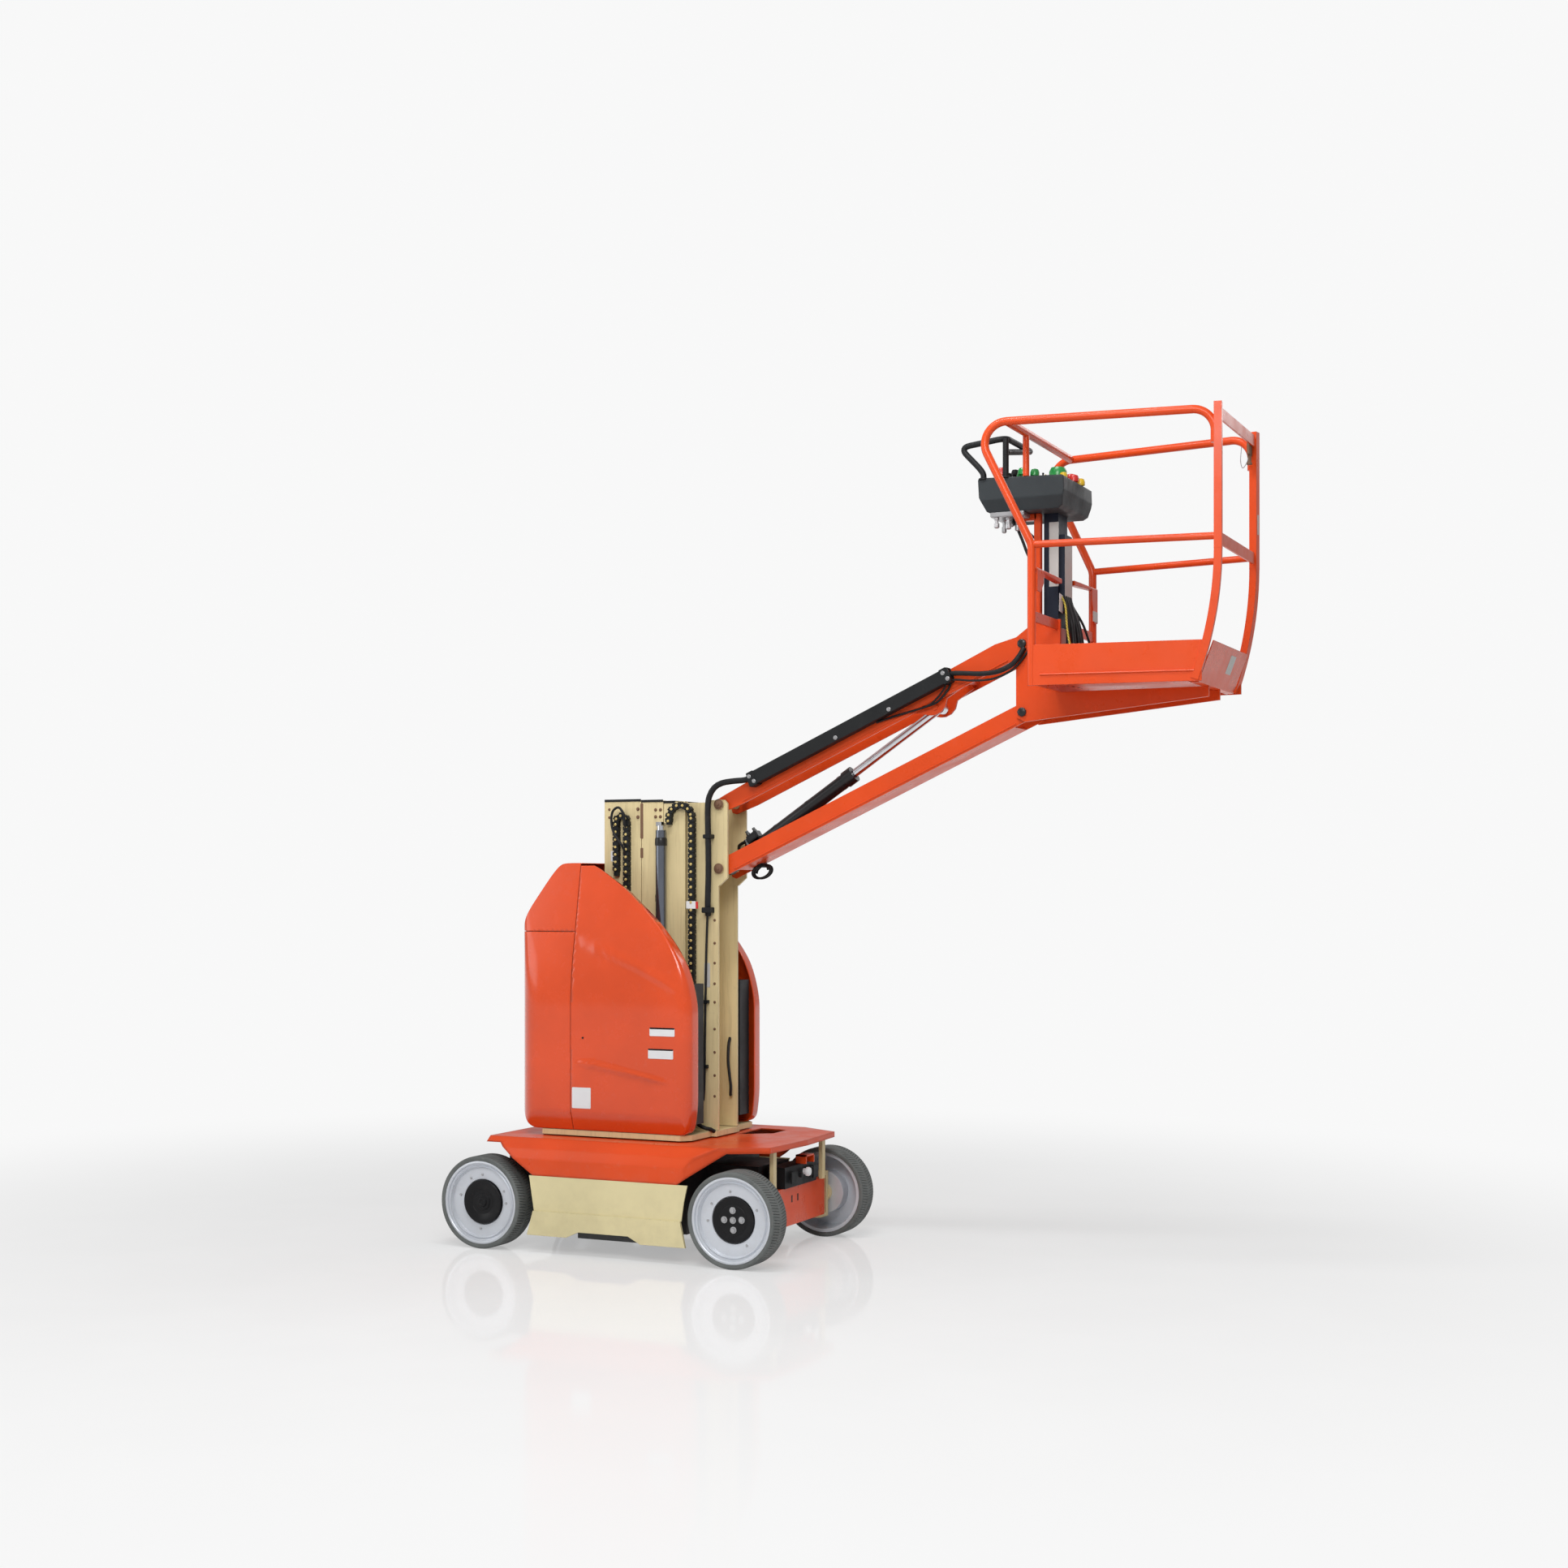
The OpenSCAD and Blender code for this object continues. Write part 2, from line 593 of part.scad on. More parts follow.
module jib_lower_arm() {
  h = 38;
  color(orange) at_jib(jib_z) difference() {
    union() {
      for (s = [0, 1]) mirror([0, s, 0])
        slab([[-h + 4, -h + 14], [-h + 18, -h], [jib_l + h - 18, -h], [jib_l + h - 4, -h + 16],
          [jib_l + h - 4, h - 14], [jib_l + h - 18, h], [-h + 14, h], [-h + 4, h - 10]], -arm_y, -arm_y + arm_t);
      span([70, -arm_y + 1, -h], [jib_l - 60, arm_y - 1, -h + 6]);
    }
    arm_bores(pin_d + 2 * bore_gap);
  }
}

// Distances along and across the upper arm to the cylinder's lug
lug_a = 1054;
lug_b = -57;
lug_pin_d = 26;
eye_w = 48;
module jib_upper_arm() {
  lo = -42;
  hi = 48;
  lug_in = arm_y - arm_t - 18;
  color(orange) at_jib(jib_z + pin_pitch) difference() {
    union() {
      for (s = [0, 1]) mirror([0, s, 0]) {
        slab([[-32, -20], [-16, -34], [90, lo], [jib_l - 30, lo], [jib_l + 32, -16], [jib_l + 32, 16],
          [jib_l, 36], [jib_l - 110, hi + 6], [300, hi - 10], [40, 30], [-24, 26]], -arm_y, -arm_y + arm_t);
        slab([[lug_a - 96, lo + 6], [lug_a - 34, lug_b - 22], [lug_a - 14, lug_b - 30], [lug_a + 14, lug_b - 30],
          [lug_a + 40, lug_b - 18], [lug_a + 62, lo - 6], [lug_a + 150, lo + 6], [lug_a + 150, lo + 26],
          [lug_a - 96, lo + 26]], -lug_in - 12, -lug_in);
        span([lug_a - 90, -arm_y + 1, lo + 8], [lug_a + 140, -lug_in - 1, lo + 24]);
      }
      rod_y(52, 6, 30, -arm_y + 1, arm_y - 1);
      for (x = [lug_a + 160, jib_l - 90]) rod_y(x, 0, 50, -arm_y + 1, arm_y - 1);
    }
    arm_bores(pin_d + 2 * bore_gap);
    rod_y(lug_a, lug_b, lug_pin_d, -200, 200);
  }
  color(dark) at_jib(jib_z + pin_pitch) for (s = [0, 1]) mirror([0, s, 0])
    rod_y(lug_a, lug_b, lug_pin_d - eps, -lug_in - 16, -eye_w / 2 - 6);
}

guard_a = [175, 1185];
guard_b = [-2, 54];
guard_y = 46;
module hose_guard() {
  color(dark) at_jib(jib_z + pin_pitch) difference() {
    slab([[guard_a[0], guard_b[0]], [guard_a[1] - 12, guard_b[0]], [guard_a[1], guard_b[0] + 14],
      [guard_a[1], guard_b[1]], [guard_a[0] + 10, guard_b[1]], [guard_a[0], guard_b[1] - 12]],
      -arm_y - guard_y, -arm_y - seat);
    span([guard_a[0] - 1, -arm_y - guard_y + 3, guard_b[0] + 3], [guard_a[1] + 1, -arm_y - seat - 3, guard_b[1] - 3]);
  }
}

// Jib cylinder, drawn level from its base pin and turned to point at its lug
function lug_point() = [lug_a * cos(jib_a) - lug_b * sin(jib_a), pin_pitch + lug_a * sin(jib_a) + lug_b * cos(jib_a)];
cyl_len = norm(lug_point());
cyl_angle = atan2(lug_point()[1], lug_point()[0]);
barrel_l = 714;
barrel_d = 62;
gland_d = 72;
gland_l = 46;
rod_d = 36;
module at_cylinder() { translate([jib_x, 0, jib_z]) rotate([0, -cyl_angle, 0]) children(); }

module jib_cylinder_barrel() {
  color(dark) at_cylinder() difference() {
    union() {
      translate([20, 0, 0]) rotate([0, 90, 0]) cylinder(d = barrel_d, h = barrel_l - 20, $fn = 48);
      translate([barrel_l - gland_l, 0, 0]) rotate([0, 90, 0]) cylinder(d = gland_d, h = gland_l, $fn = 48);
      rod_y(0, 0, 56, -eye_w / 2, eye_w / 2);
    }
    translate([60, 0, 0]) rotate([0, 90, 0]) cylinder(d = rod_d + 0.6, h = barrel_l, $fn = 48);
    rod_y(0, 0, pin_d + 2 * bore_gap, -200, 200);
  }
}

module jib_cylinder_rod() {
  color(silver) at_cylinder() difference() {
    union() {
      translate([barrel_l - 260, 0, 0]) rotate([0, 90, 0]) cylinder(d = rod_d, h = cyl_len - barrel_l + 240, $fn = 48);
      rod_y(cyl_len, 0, 50, -eye_w / 2, eye_w / 2);
    }
    rod_y(cyl_len, 0, lug_pin_d + 1, -200, 200);
  }
}

// Basket
tip_x = jib_x + jib_l * cos(jib_a);
tip_z = jib_z + jib_l * sin(jib_a);
floor_z = tip_z + 75;
rear_x = tip_x + 145;
front_x = rear_x + basket_l;
taper = atan((basket_w - basket_front_w) / 2 / basket_l);

// Local frame of the near side: x runs from the rear post to the front post
module at_side(side) {
  mirror([0, side > 0 ? 1 : 0, 0])
    translate([rear_x, -basket_w / 2, floor_z]) rotate([0, 0, taper]) children();
}
side_l = basket_l / cos(taper);

module basket_carrier() {
  w = bracket_w / 2;
  color(orange) difference() {
    for (s = [0, 1]) mirror([0, s, 0])
      slab([[tip_x - 26, tip_z - 20], [tip_x + 10, tip_z - 40], [tip_x + 110, tip_z - 30], [front_x - 90, floor_z - 40],
        [front_x - 90, floor_z - seat], [rear_x + 20, floor_z - seat], [rear_x + 15, floor_z - seat], [rear_x + 15, tip_z + pin_pitch + 90],
        [tip_x + 60, tip_z + pin_pitch + 90], [tip_x - 26, tip_z + pin_pitch + 26]], -w, -w + bracket_t);
  }
  color(orange) span([rear_x - 6, -w, tip_z + 40], [rear_x + 6, w, tip_z + pin_pitch + 60]);
  color(dark) for (z = [tip_z, tip_z + pin_pitch]) rod_y(tip_x, z, pin_d, -w - 4, w + 4);
}

floor_t = 30;
toe_t = 8;
toe_y = 2;
tube_y = rail_d / 2;
// Half width of the floor at a place along x, inset from the inside of the toe boards
function floor_half(x, inset) = basket_w / 2 - (x - rear_x) * tan(taper) - (toe_y + toe_t + inset) / cos(taper);
module floor_outline(inset) {
  a = rear_x + rail_d / 2 + seat + inset;
  b = front_x - 112 - inset;
  polygon([[a, -floor_half(a, seat + inset)], [b, -floor_half(b, seat + inset)],
    [b, floor_half(b, seat + inset)], [a, floor_half(a, seat + inset)]]);
}
module basket_floor() {
  y = basket_front_w / 2 - (tube_y + post_w / 2) / cos(taper) - 4;
  color(orange) {
    difference() {
      translate([0, 0, floor_z]) linear_extrude(floor_t) floor_outline(0);
      translate([0, 0, floor_z - 1]) linear_extrude(floor_t - 3) floor_outline(4);
    }
    translate([0, 0, floor_z]) slab([[front_x - 112 - eps, 0], [front_x - 82, 0], [front_x - 24, toe_h], [front_x - 28, toe_h],
      [front_x - 86, 5], [front_x - 112 - eps, 5]], -y, y);
  }
}

// Side of the basket: toe board, rear loop with the top rail, mid rail and front post
post_r = 1470;
post_w = 36;
post_t = 30;
post_z = 500;
rail_lean = 235;
module basket_side(side) {
  color(orange) at_side(side) {
    translate([0, tube_y, 0]) upright()
      bent_tube([[0, 0], [0, mid_h], [-rail_lean, top_h], [side_l - 12, top_h], [side_l - 12, top_h - 130]], rail_d, 85);
    bar([10, tube_y, mid_h], [side_l - post_t / 2, tube_y, mid_h], rail_d - 4);
    span([0, toe_y, 0], [side_l - 60, toe_y + toe_t, toe_h]);
    span([side_l - post_t / 2, tube_y - post_w / 2, post_z], [side_l + post_t / 2, tube_y + post_w / 2, top_h + rail_d / 2 + 6]);
    translate([side_l + post_t / 2 - post_r, tube_y + post_w / 2, post_z + 6]) rotate([90, 0, 0]) rotate([0, 0, -20])
      rotate_extrude(angle = 20, $fn = 180) translate([post_r - post_t + lap_t, lap_t]) square([post_t - 2 * lap_t, post_w - 2 * lap_t]);
  }
}

// Distance from the middle to the inside of a side's tubes, at a length along the side
function side_inner(x) =
  basket_w / 2 - x * sin(taper) - tube_y * cos(taper) - (rail_d / 2 + lap_t) / cos(taper) - 1.2;
console_w = 380;
console_h = 128;
cross_x = 100;
stay_y = -console_w / 2 + 10;
module basket_rear_frame() {
  y0 = bracket_w / 2 + seat;
  color(orange) {
    for (s = [0, 1]) mirror([0, s, 0]) {
      span([rear_x - 5, y0, floor_z + 250], [rear_x + 5, side_inner(0), floor_z + 290]);
      span([rear_x - 5, y0, floor_z + 4], [rear_x + 5, side_inner(0), floor_z + toe_h]);
    }
    cross_y = side_inner(-cross_x) - rail_d / 2 * tan(taper);
    bar([rear_x - cross_x, -cross_y, floor_z + top_h], [rear_x - cross_x, cross_y, floor_z + top_h], rail_d);
    bar([rear_x - cross_x, stay_y, floor_z + console_z + console_h + 6],
      [rear_x - cross_x, stay_y, floor_z + top_h], rail_d - 6);
  }
}

gate_bar_d = 14;
gate_y = basket_front_w / 2 - (tube_y + post_w / 2) / cos(taper) - gate_bar_d / 2 - 2;
module basket_gate() {
  color(orange) {
    for (z = [mid_h - 30, top_h - 40])
      span([front_x - 4, -gate_y, floor_z + z], [front_x + 4, gate_y, floor_z + z + 46]);
    bar([front_x, -gate_y, floor_z + mid_h - 30], [front_x, -gate_y, floor_z + top_h + 6], gate_bar_d);
  }
}

// Console and its column
console_x = rear_x - 120;
console_top = console_z + console_h;
module console_column() {
  x1 = rear_x - 6 - seat;
  color("#232a38") {
    span([x1 - 60, -55, floor_z + 70], [x1, 65, floor_z + console_z - seat]);
    span([x1 - 4, -42, floor_z + 330], [x1 + 24, 52, floor_z + 640]);
  }
}

// Moulded console: a tray with sloping ends and a raised rim round its panel
module console() {
  color("#3a3f42") translate([console_x, 0, floor_z + console_z]) difference() {
    intersection() {
      slab([[-176, 62], [-150, 6], [-130, 0], [150, 0], [168, 12], [180, 70], [178, console_h - 4], [170, console_h],
        [-172, console_h + 12], [-180, console_h + 4]], -console_w / 2, console_w / 2);
      rotate([90, 0, 90]) translate([0, 0, -300]) linear_extrude(600) polygon([[-console_w / 2 + 24, -1],
        [console_w / 2 - 24, -1], [console_w / 2, 50], [console_w / 2, 200], [-console_w / 2, 200], [-console_w / 2, 50]]);
    }
    slab([[-158, console_h - 4], [158, console_h - 16], [158, 200], [-158, 200]], -console_w / 2 + 20, console_w / 2 - 20);
  }
}

// Columns: distance along x, distance along y, diameter, height above the panel
control_table = [[-90, -120, 36, 34], [-20, -120, 24, 26], [40, -110, 24, 26], [100, -110, 24, 20], [-90, 0, 30, 60],
  [-20, 20, 24, 22], [50, 30, 24, 22], [110, 30, 34, 30], [-70, 120, 52, 36], [20, 120, 24, 22], [90, 120, 40, 34]];
module console_controls() {
  color("red") for (c = control_table)
    translate([console_x + c[0], c[1], floor_z + console_top - 10 - c[0] * 12 / 316 + c[2] * 0.02 + seat])
      cylinder(d = c[2], h = c[3], $fn = 32);
}

// Black tube over the console: a leg at its near end, a post, and a loop across it
guard_d = 24;
guard_y0 = -console_w / 2 + 12;
guard_path = [[-160, guard_y0, 13], [-160, guard_y0, 34], [-262, guard_y0, 144], [-66, guard_y0, 167],
  [-76, console_w / 2 - 8, 180], [-66, guard_y0, 96]];
module console_guard() {
  color(dark) translate([console_x, 0, floor_z + console_top]) {
    for (i = [1 : len(guard_path) - 1]) bar(guard_path[i - 1], guard_path[i], guard_d, 48);
    for (i = [1 : len(guard_path) - 2]) translate(guard_path[i]) sphere(d = guard_d + 1, $fn = 48);
    bar([-66, guard_y0, 10], [-66, guard_y0, 167], guard_d + 1, 48);
  }
}

chassis_frame();
deck_cover();
skirt(-1);  // skirt_near
skirt(1);  // skirt_far
belly_pan();
front_axle_beam();
front_uprights();
front_control_box();
rear_axle();
knuckle(-1);  // knuckle_near
knuckle(1);  // knuckle_far
tyre(1, -1);  // tyre_front_near
tyre(1, 1);  // tyre_front_far
tyre(-1, -1);  // tyre_rear_near
tyre(-1, 1);  // tyre_rear_far
rim(1, -1);  // rim_front_near
rim(1, 1);  // rim_front_far
rim(-1, -1);  // rim_rear_near
rim(-1, 1);  // rim_rear_far
turret_base();
power_block(-1);  // power_block_near
power_block(1);  // power_block_far
hood(-1);  // hood_near
hood(1);  // hood_far
rear_cover(true);  // rear_cover_lower
rear_cover(false);  // rear_cover_upper
mast_section(0);  // mast_fixed
mast_section(1);  // mast_stage_1
mast_section(2);  // mast_stage_2
mast_carriage();
lift_cylinder_barrel();
lift_cylinder_rod();
cable_chain_rear();
cable_chain_front();
jib_lower_arm();
jib_upper_arm();
hose_guard();
jib_cylinder_barrel();
jib_cylinder_rod();
basket_carrier();
basket_floor();
basket_side(-1);  // basket_side_near
basket_side(1);  // basket_side_far
basket_rear_frame();
basket_gate();
console_column();
console();
console_controls();
console_guard();
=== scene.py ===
import json
from math import cos, pi, radians, sin, tau

import bmesh
import bpy
import numpy as np
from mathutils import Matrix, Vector


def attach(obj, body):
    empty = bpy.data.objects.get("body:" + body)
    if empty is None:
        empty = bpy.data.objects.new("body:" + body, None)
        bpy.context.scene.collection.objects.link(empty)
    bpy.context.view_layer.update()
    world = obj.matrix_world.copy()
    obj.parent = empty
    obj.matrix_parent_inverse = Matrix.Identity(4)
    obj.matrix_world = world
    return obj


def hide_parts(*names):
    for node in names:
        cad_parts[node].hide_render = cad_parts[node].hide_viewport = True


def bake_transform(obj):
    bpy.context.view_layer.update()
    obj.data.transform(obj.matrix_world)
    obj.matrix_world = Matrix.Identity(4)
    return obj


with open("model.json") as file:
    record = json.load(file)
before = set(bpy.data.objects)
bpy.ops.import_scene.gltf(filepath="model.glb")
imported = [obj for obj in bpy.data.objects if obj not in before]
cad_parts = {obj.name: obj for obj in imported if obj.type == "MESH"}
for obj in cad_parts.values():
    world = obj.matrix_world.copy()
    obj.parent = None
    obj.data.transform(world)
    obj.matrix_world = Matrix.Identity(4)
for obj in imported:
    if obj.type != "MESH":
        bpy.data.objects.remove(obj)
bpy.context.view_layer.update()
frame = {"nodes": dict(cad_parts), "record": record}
nodes = frame["nodes"]

# Camera, solved from the photograph
CAMERA_AT = (4.497, -8.297, 1.567)
CAMERA_YAW = radians(25.138)
IMAGE = 1932
FOCAL_PIXELS = 2625.8
HORIZON_PIXELS = 125.9
camera_data = bpy.data.cameras.new("camera")
camera_data.sensor_width = 36
camera_data.lens = 36 * FOCAL_PIXELS / IMAGE
camera_data.shift_y = HORIZON_PIXELS / IMAGE
camera_data.clip_end = 100
camera = bpy.data.objects.new("camera", camera_data)
camera.location = CAMERA_AT
camera.rotation_euler = (pi / 2, 0, CAMERA_YAW)
bpy.context.scene.collection.objects.link(camera)
bpy.context.scene.camera = camera
bpy.context.scene.view_settings.view_transform = "Standard"


class Nodes:
    """Short names for building the nodes of a material, or of the world."""

    def __init__(self, owner):
        owner.use_nodes = True
        self.tree = owner.node_tree
        self.shader = self.tree.nodes.get("Principled BSDF")
        if self.shader:
            self.coords = self.add("ShaderNodeTexCoord").outputs["Object"]

    def add(self, kind, **values):
        node = self.tree.nodes.new(kind)
        for key, value in values.items():
            setattr(node, key, value)
        return node

    def link(self, source, target):
        self.tree.links.new(source, target)

    def noise(self, scale, detail=4, rough=0.55, stretch=None):
        node = self.add("ShaderNodeTexNoise")
        node.inputs["Scale"].default_value = scale
        node.inputs["Detail"].default_value = detail
        node.inputs["Roughness"].default_value = rough
        coords = self.coords
        if stretch:
            mapping = self.add("ShaderNodeMapping")
            mapping.inputs["Scale"].default_value = stretch
            self.link(coords, mapping.inputs["Vector"])
            coords = mapping.outputs["Vector"]
        self.link(coords, node.inputs["Vector"])
        return node.outputs["Fac"]

    def ramp(self, source, low, high, out_low=0.0, out_high=1.0):
        node = self.add("ShaderNodeMapRange")
        node.interpolation_type = "SMOOTHSTEP"
        for key, value in (("From Min", low), ("From Max", high), ("To Min", out_low), ("To Max", out_high)):
            node.inputs[key].default_value = value
        self.link(source, node.inputs["Value"])
        return node.outputs["Result"]

    def math(self, operation, a, b):
        node = self.add("ShaderNodeMath", operation=operation)
        for socket, value in zip(node.inputs, (a, b)):
            if isinstance(value, (int, float)):
                socket.default_value = value
            else:
                self.link(value, socket)
        return node.outputs[0]

    def mix(self, factor, a, b):
        node = self.add("ShaderNodeMix", data_type="RGBA")
        for socket, value in zip((node.inputs[0], node.inputs[6], node.inputs[7]), (factor, a, b)):
            if isinstance(value, (int, float)):
                socket.default_value = value
            elif isinstance(value, tuple):
                socket.default_value = (*value, 1)
            else:
                self.link(value, socket)
        return node.outputs[2]

    def height(self):
        """Height above the floor, or above the piece's own origin."""
        split = self.add("ShaderNodeSeparateXYZ")
        self.link(self.coords, split.inputs[0])
        return split.outputs["Z"]

    def bump(self, height, strength, distance=0.001, normal=None):
        node = self.add("ShaderNodeBump")
        node.inputs["Strength"].default_value = strength
        node.inputs["Distance"].default_value = distance
        self.link(height, node.inputs["Height"])
        if normal is not None:
            self.link(normal, node.inputs["Normal"])
        return node.outputs["Normal"]

    def rounded(self, radius):
        node = self.add("ShaderNodeBevel", samples=4)
        node.inputs["Radius"].default_value = radius
        return node.outputs["Normal"]

    def edges(self, rounded):
        """1 on sharp edges, 0 on flat faces."""
        geometry = self.add("ShaderNodeNewGeometry")
        dot = self.add("ShaderNodeVectorMath", operation="DOT_PRODUCT")
        self.link(rounded, dot.inputs[0])
        self.link(geometry.outputs["Normal"], dot.inputs[1])
        return self.math("SUBTRACT", 1.0, dot.outputs["Value"])


def shade(value, factor):
    return tuple(min(1.0, c * factor) for c in value)


def paint(name, color, rough=0.3, coat=0.0, edge_color=None, edge_radius=0.002, dust=0.1,
        dust_color=(0.45, 0.42, 0.37), grain=0.04, grain_scale=900, low_dirt=0.0, metallic=0.0, specular=0.5,
        streaks=0.0):
    """Sprayed or moulded surface: slow colour drift, orange peel, dust, and wear along its edges."""
    material = bpy.data.materials.new(name)
    n = Nodes(material)
    drift = n.mix(n.ramp(n.noise(2.3, 3), 0.35, 0.65), shade(color, 0.93), shade(color, 1.05))
    spots = n.ramp(n.noise(23, 6, 0.7), 0.56, 0.78, 0, dust)
    base = n.mix(spots, drift, dust_color)
    if low_dirt:
        near_floor = n.ramp(n.height(), 0.45, 0.05, 0, low_dirt)
        base = n.mix(n.math("MULTIPLY", near_floor, n.ramp(n.noise(14, 5, 0.65), 0.35, 0.7)), base,
            dust_color)
    if streaks:
        runs = n.ramp(n.noise(7, 6, 0.7, (9, 9, 0.5)), 0.45, 0.72, 0, streaks)
        base = n.mix(runs, base, dust_color)
    normal = n.rounded(edge_radius)
    if edge_color:
        worn = n.math("MULTIPLY", n.ramp(n.edges(normal), 0.03, 0.2), n.ramp(n.noise(45, 5, 0.7), 0.48, 0.66))
        base = n.mix(worn, base, edge_color)
    n.link(base, n.shader.inputs["Base Color"])
    n.link(n.ramp(n.noise(9, 5, 0.6), 0.3, 0.75, rough * 0.8, rough * 1.3), n.shader.inputs["Roughness"])
    n.shader.inputs["Metallic"].default_value = metallic
    n.shader.inputs["Specular IOR Level"].default_value = specular
    n.shader.inputs["Coat Weight"].default_value = coat
    n.shader.inputs["Coat Roughness"].default_value = 0.12
    n.link(n.bump(n.noise(grain_scale, 2), grain, 0.0004, normal), n.shader.inputs["Normal"])
    return material


ORANGE = (0.69, 0.068, 0.01)
CREAM = (0.71, 0.585, 0.325)
SKIRT_CREAM = (0.7, 0.62, 0.36)
CHARCOAL = (0.03, 0.036, 0.04)
TYRE_GREY = (0.12, 0.13, 0.126)
SILVER = (0.6, 0.63, 0.68)

orange_paint = paint("orange_paint", ORANGE, 0.32, 0.12, (0.42, 0.1, 0.05), 0.002, 0.04, specular=0.25)
orange_moulding = paint("orange_moulding", ORANGE, 0.24, 0.85, (0.5, 0.1, 0.04), 0.004, 0.04, grain=0.03,
    grain_scale=400, specular=0.12)
deck_moulding = paint("deck_moulding", ORANGE, 0.34, 0.12, None, 0.018, 0.08, grain=0.05, grain_scale=500,
    specular=0.25, low_dirt=0.2)
cream_paint = paint("cream_paint", CREAM, 0.42, 0.1, (0.2, 0.15, 0.1), 0.002, 0.16, (0.32, 0.24, 0.13),
    low_dirt=0.25, specular=0.3, streaks=0.3)
skirt_paint = paint("skirt_paint", SKIRT_CREAM, 0.4, 0.1, (0.24, 0.18, 0.11), 0.002, 0.08, (0.36, 0.29, 0.17),
    low_dirt=0.16, specular=0.3)
dark_steel = paint("dark_steel", (0.018, 0.019, 0.021), 0.45, 0.0, (0.1, 0.09, 0.08), 0.002, 0.2,
    (0.1, 0.085, 0.07), low_dirt=0.3, specular=0.25)
black_paint = paint("black_paint", (0.013, 0.013, 0.014), 0.32, 0.1, (0.08, 0.075, 0.07), 0.001, 0.12,
    (0.07, 0.065, 0.06), specular=0.3)
black_plastic = paint("black_plastic", (0.013, 0.014, 0.015), 0.5, 0.0, (0.04, 0.04, 0.04), 0.0015, 0.15,
    (0.06, 0.055, 0.05), grain=0.3, specular=0.2)
charcoal_plastic = paint("charcoal_plastic", CHARCOAL, 0.55, 0.0, (0.075, 0.078, 0.08), 0.012, 0.12,
    (0.08, 0.078, 0.075), grain=0.35, grain_scale=700, specular=0.25)
rim_steel = paint("rim_steel", SILVER, 0.36, 0.1, (0.42, 0.42, 0.43), 0.0015, 0.12, (0.36, 0.34, 0.31),
    grain=0.04, metallic=0.25, low_dirt=0.12)
dark_chrome = paint("dark_chrome", (0.16, 0.175, 0.21), 0.2, 0.1, None, 0.001, 0.15, (0.05, 0.045, 0.04),
    grain=0.03, metallic=0.85)
control_red, control_green, control_yellow = (paint("control_" + name, color, 0.3, 0.2, None, 0.001, 0.04)
    for name, color in (("red", (0.62, 0.02, 0.015)), ("green", (0.02, 0.3, 0.06)),
    ("yellow", (0.75, 0.5, 0.02))))
navy_plastic = paint("navy_plastic", (0.008, 0.013, 0.028), 0.45, 0.05, (0.04, 0.045, 0.06), 0.002, 0.1,
    (0.05, 0.055, 0.065), specular=0.25)


def tyre_rubber_material():
    material = bpy.data.materials.new("tyre_rubber")
    n = Nodes(material)
    drift = n.mix(n.ramp(n.noise(6, 4), 0.35, 0.65), shade(TYRE_GREY, 0.85), shade(TYRE_GREY, 1.12))
    scuffs = n.ramp(n.noise(60, 6, 0.75), 0.55, 0.75, 0, 0.5)
    n.link(n.mix(scuffs, drift, (0.27, 0.265, 0.25)), n.shader.inputs["Base Color"])
    n.link(n.ramp(n.noise(30, 4), 0.3, 0.7, 0.62, 0.85), n.shader.inputs["Roughness"])
    n.link(n.bump(n.noise(350, 4), 0.3, 0.0008, n.rounded(0.003)), n.shader.inputs["Normal"])
    return material


def chrome_material():
    material = bpy.data.materials.new("chromed_rod")
    n = Nodes(material)
    n.shader.inputs["Metallic"].default_value = 1
    drift = n.mix(n.ramp(n.noise(12, 5, 0.6), 0.45, 0.8), (0.66, 0.67, 0.7), (0.42, 0.42, 0.43))
    n.link(drift, n.shader.inputs["Base Color"])
    n.link(n.ramp(n.noise(40, 4, 0.6, (1, 1, 0.1)), 0.3, 0.8, 0.08, 0.26), n.shader.inputs["Roughness"])
    n.link(n.bump(n.noise(500, 2, 0.5, (1, 1, 12)), 0.03, 0.0003), n.shader.inputs["Normal"])
    return material


tyre_rubber = tyre_rubber_material()
chromed_rod = chrome_material()
by_slot = {
    "orange_paint": orange_paint, "orange_moulding": orange_moulding, "cream_paint": cream_paint,
    "dark_steel": dark_steel, "black_paint": black_paint, "black_plastic": black_plastic,
    "control_plastic": control_red, "chromed_rod": chromed_rod, "rim_steel": rim_steel,
    "tyre_rubber": tyre_rubber,
}
belly_grey = paint("belly_grey", (0.085, 0.086, 0.09), 0.5, 0.0, (0.2, 0.19, 0.18), 0.004, 0.2,
    (0.16, 0.15, 0.13), specular=0.3)
special = {"belly_pan": belly_grey, "console": charcoal_plastic, "console_column": navy_plastic,
    "deck_cover": deck_moulding, "skirt_near": skirt_paint, "skirt_far": skirt_paint,
    "lift_cylinder_barrel": dark_chrome}
for part in frame["record"]["subparts"]:
    node = nodes[part["node"]]
    material = special.get(part["node"], by_slot[part["material_slot"]])
    for slot in node.material_slots:
        slot.material = material


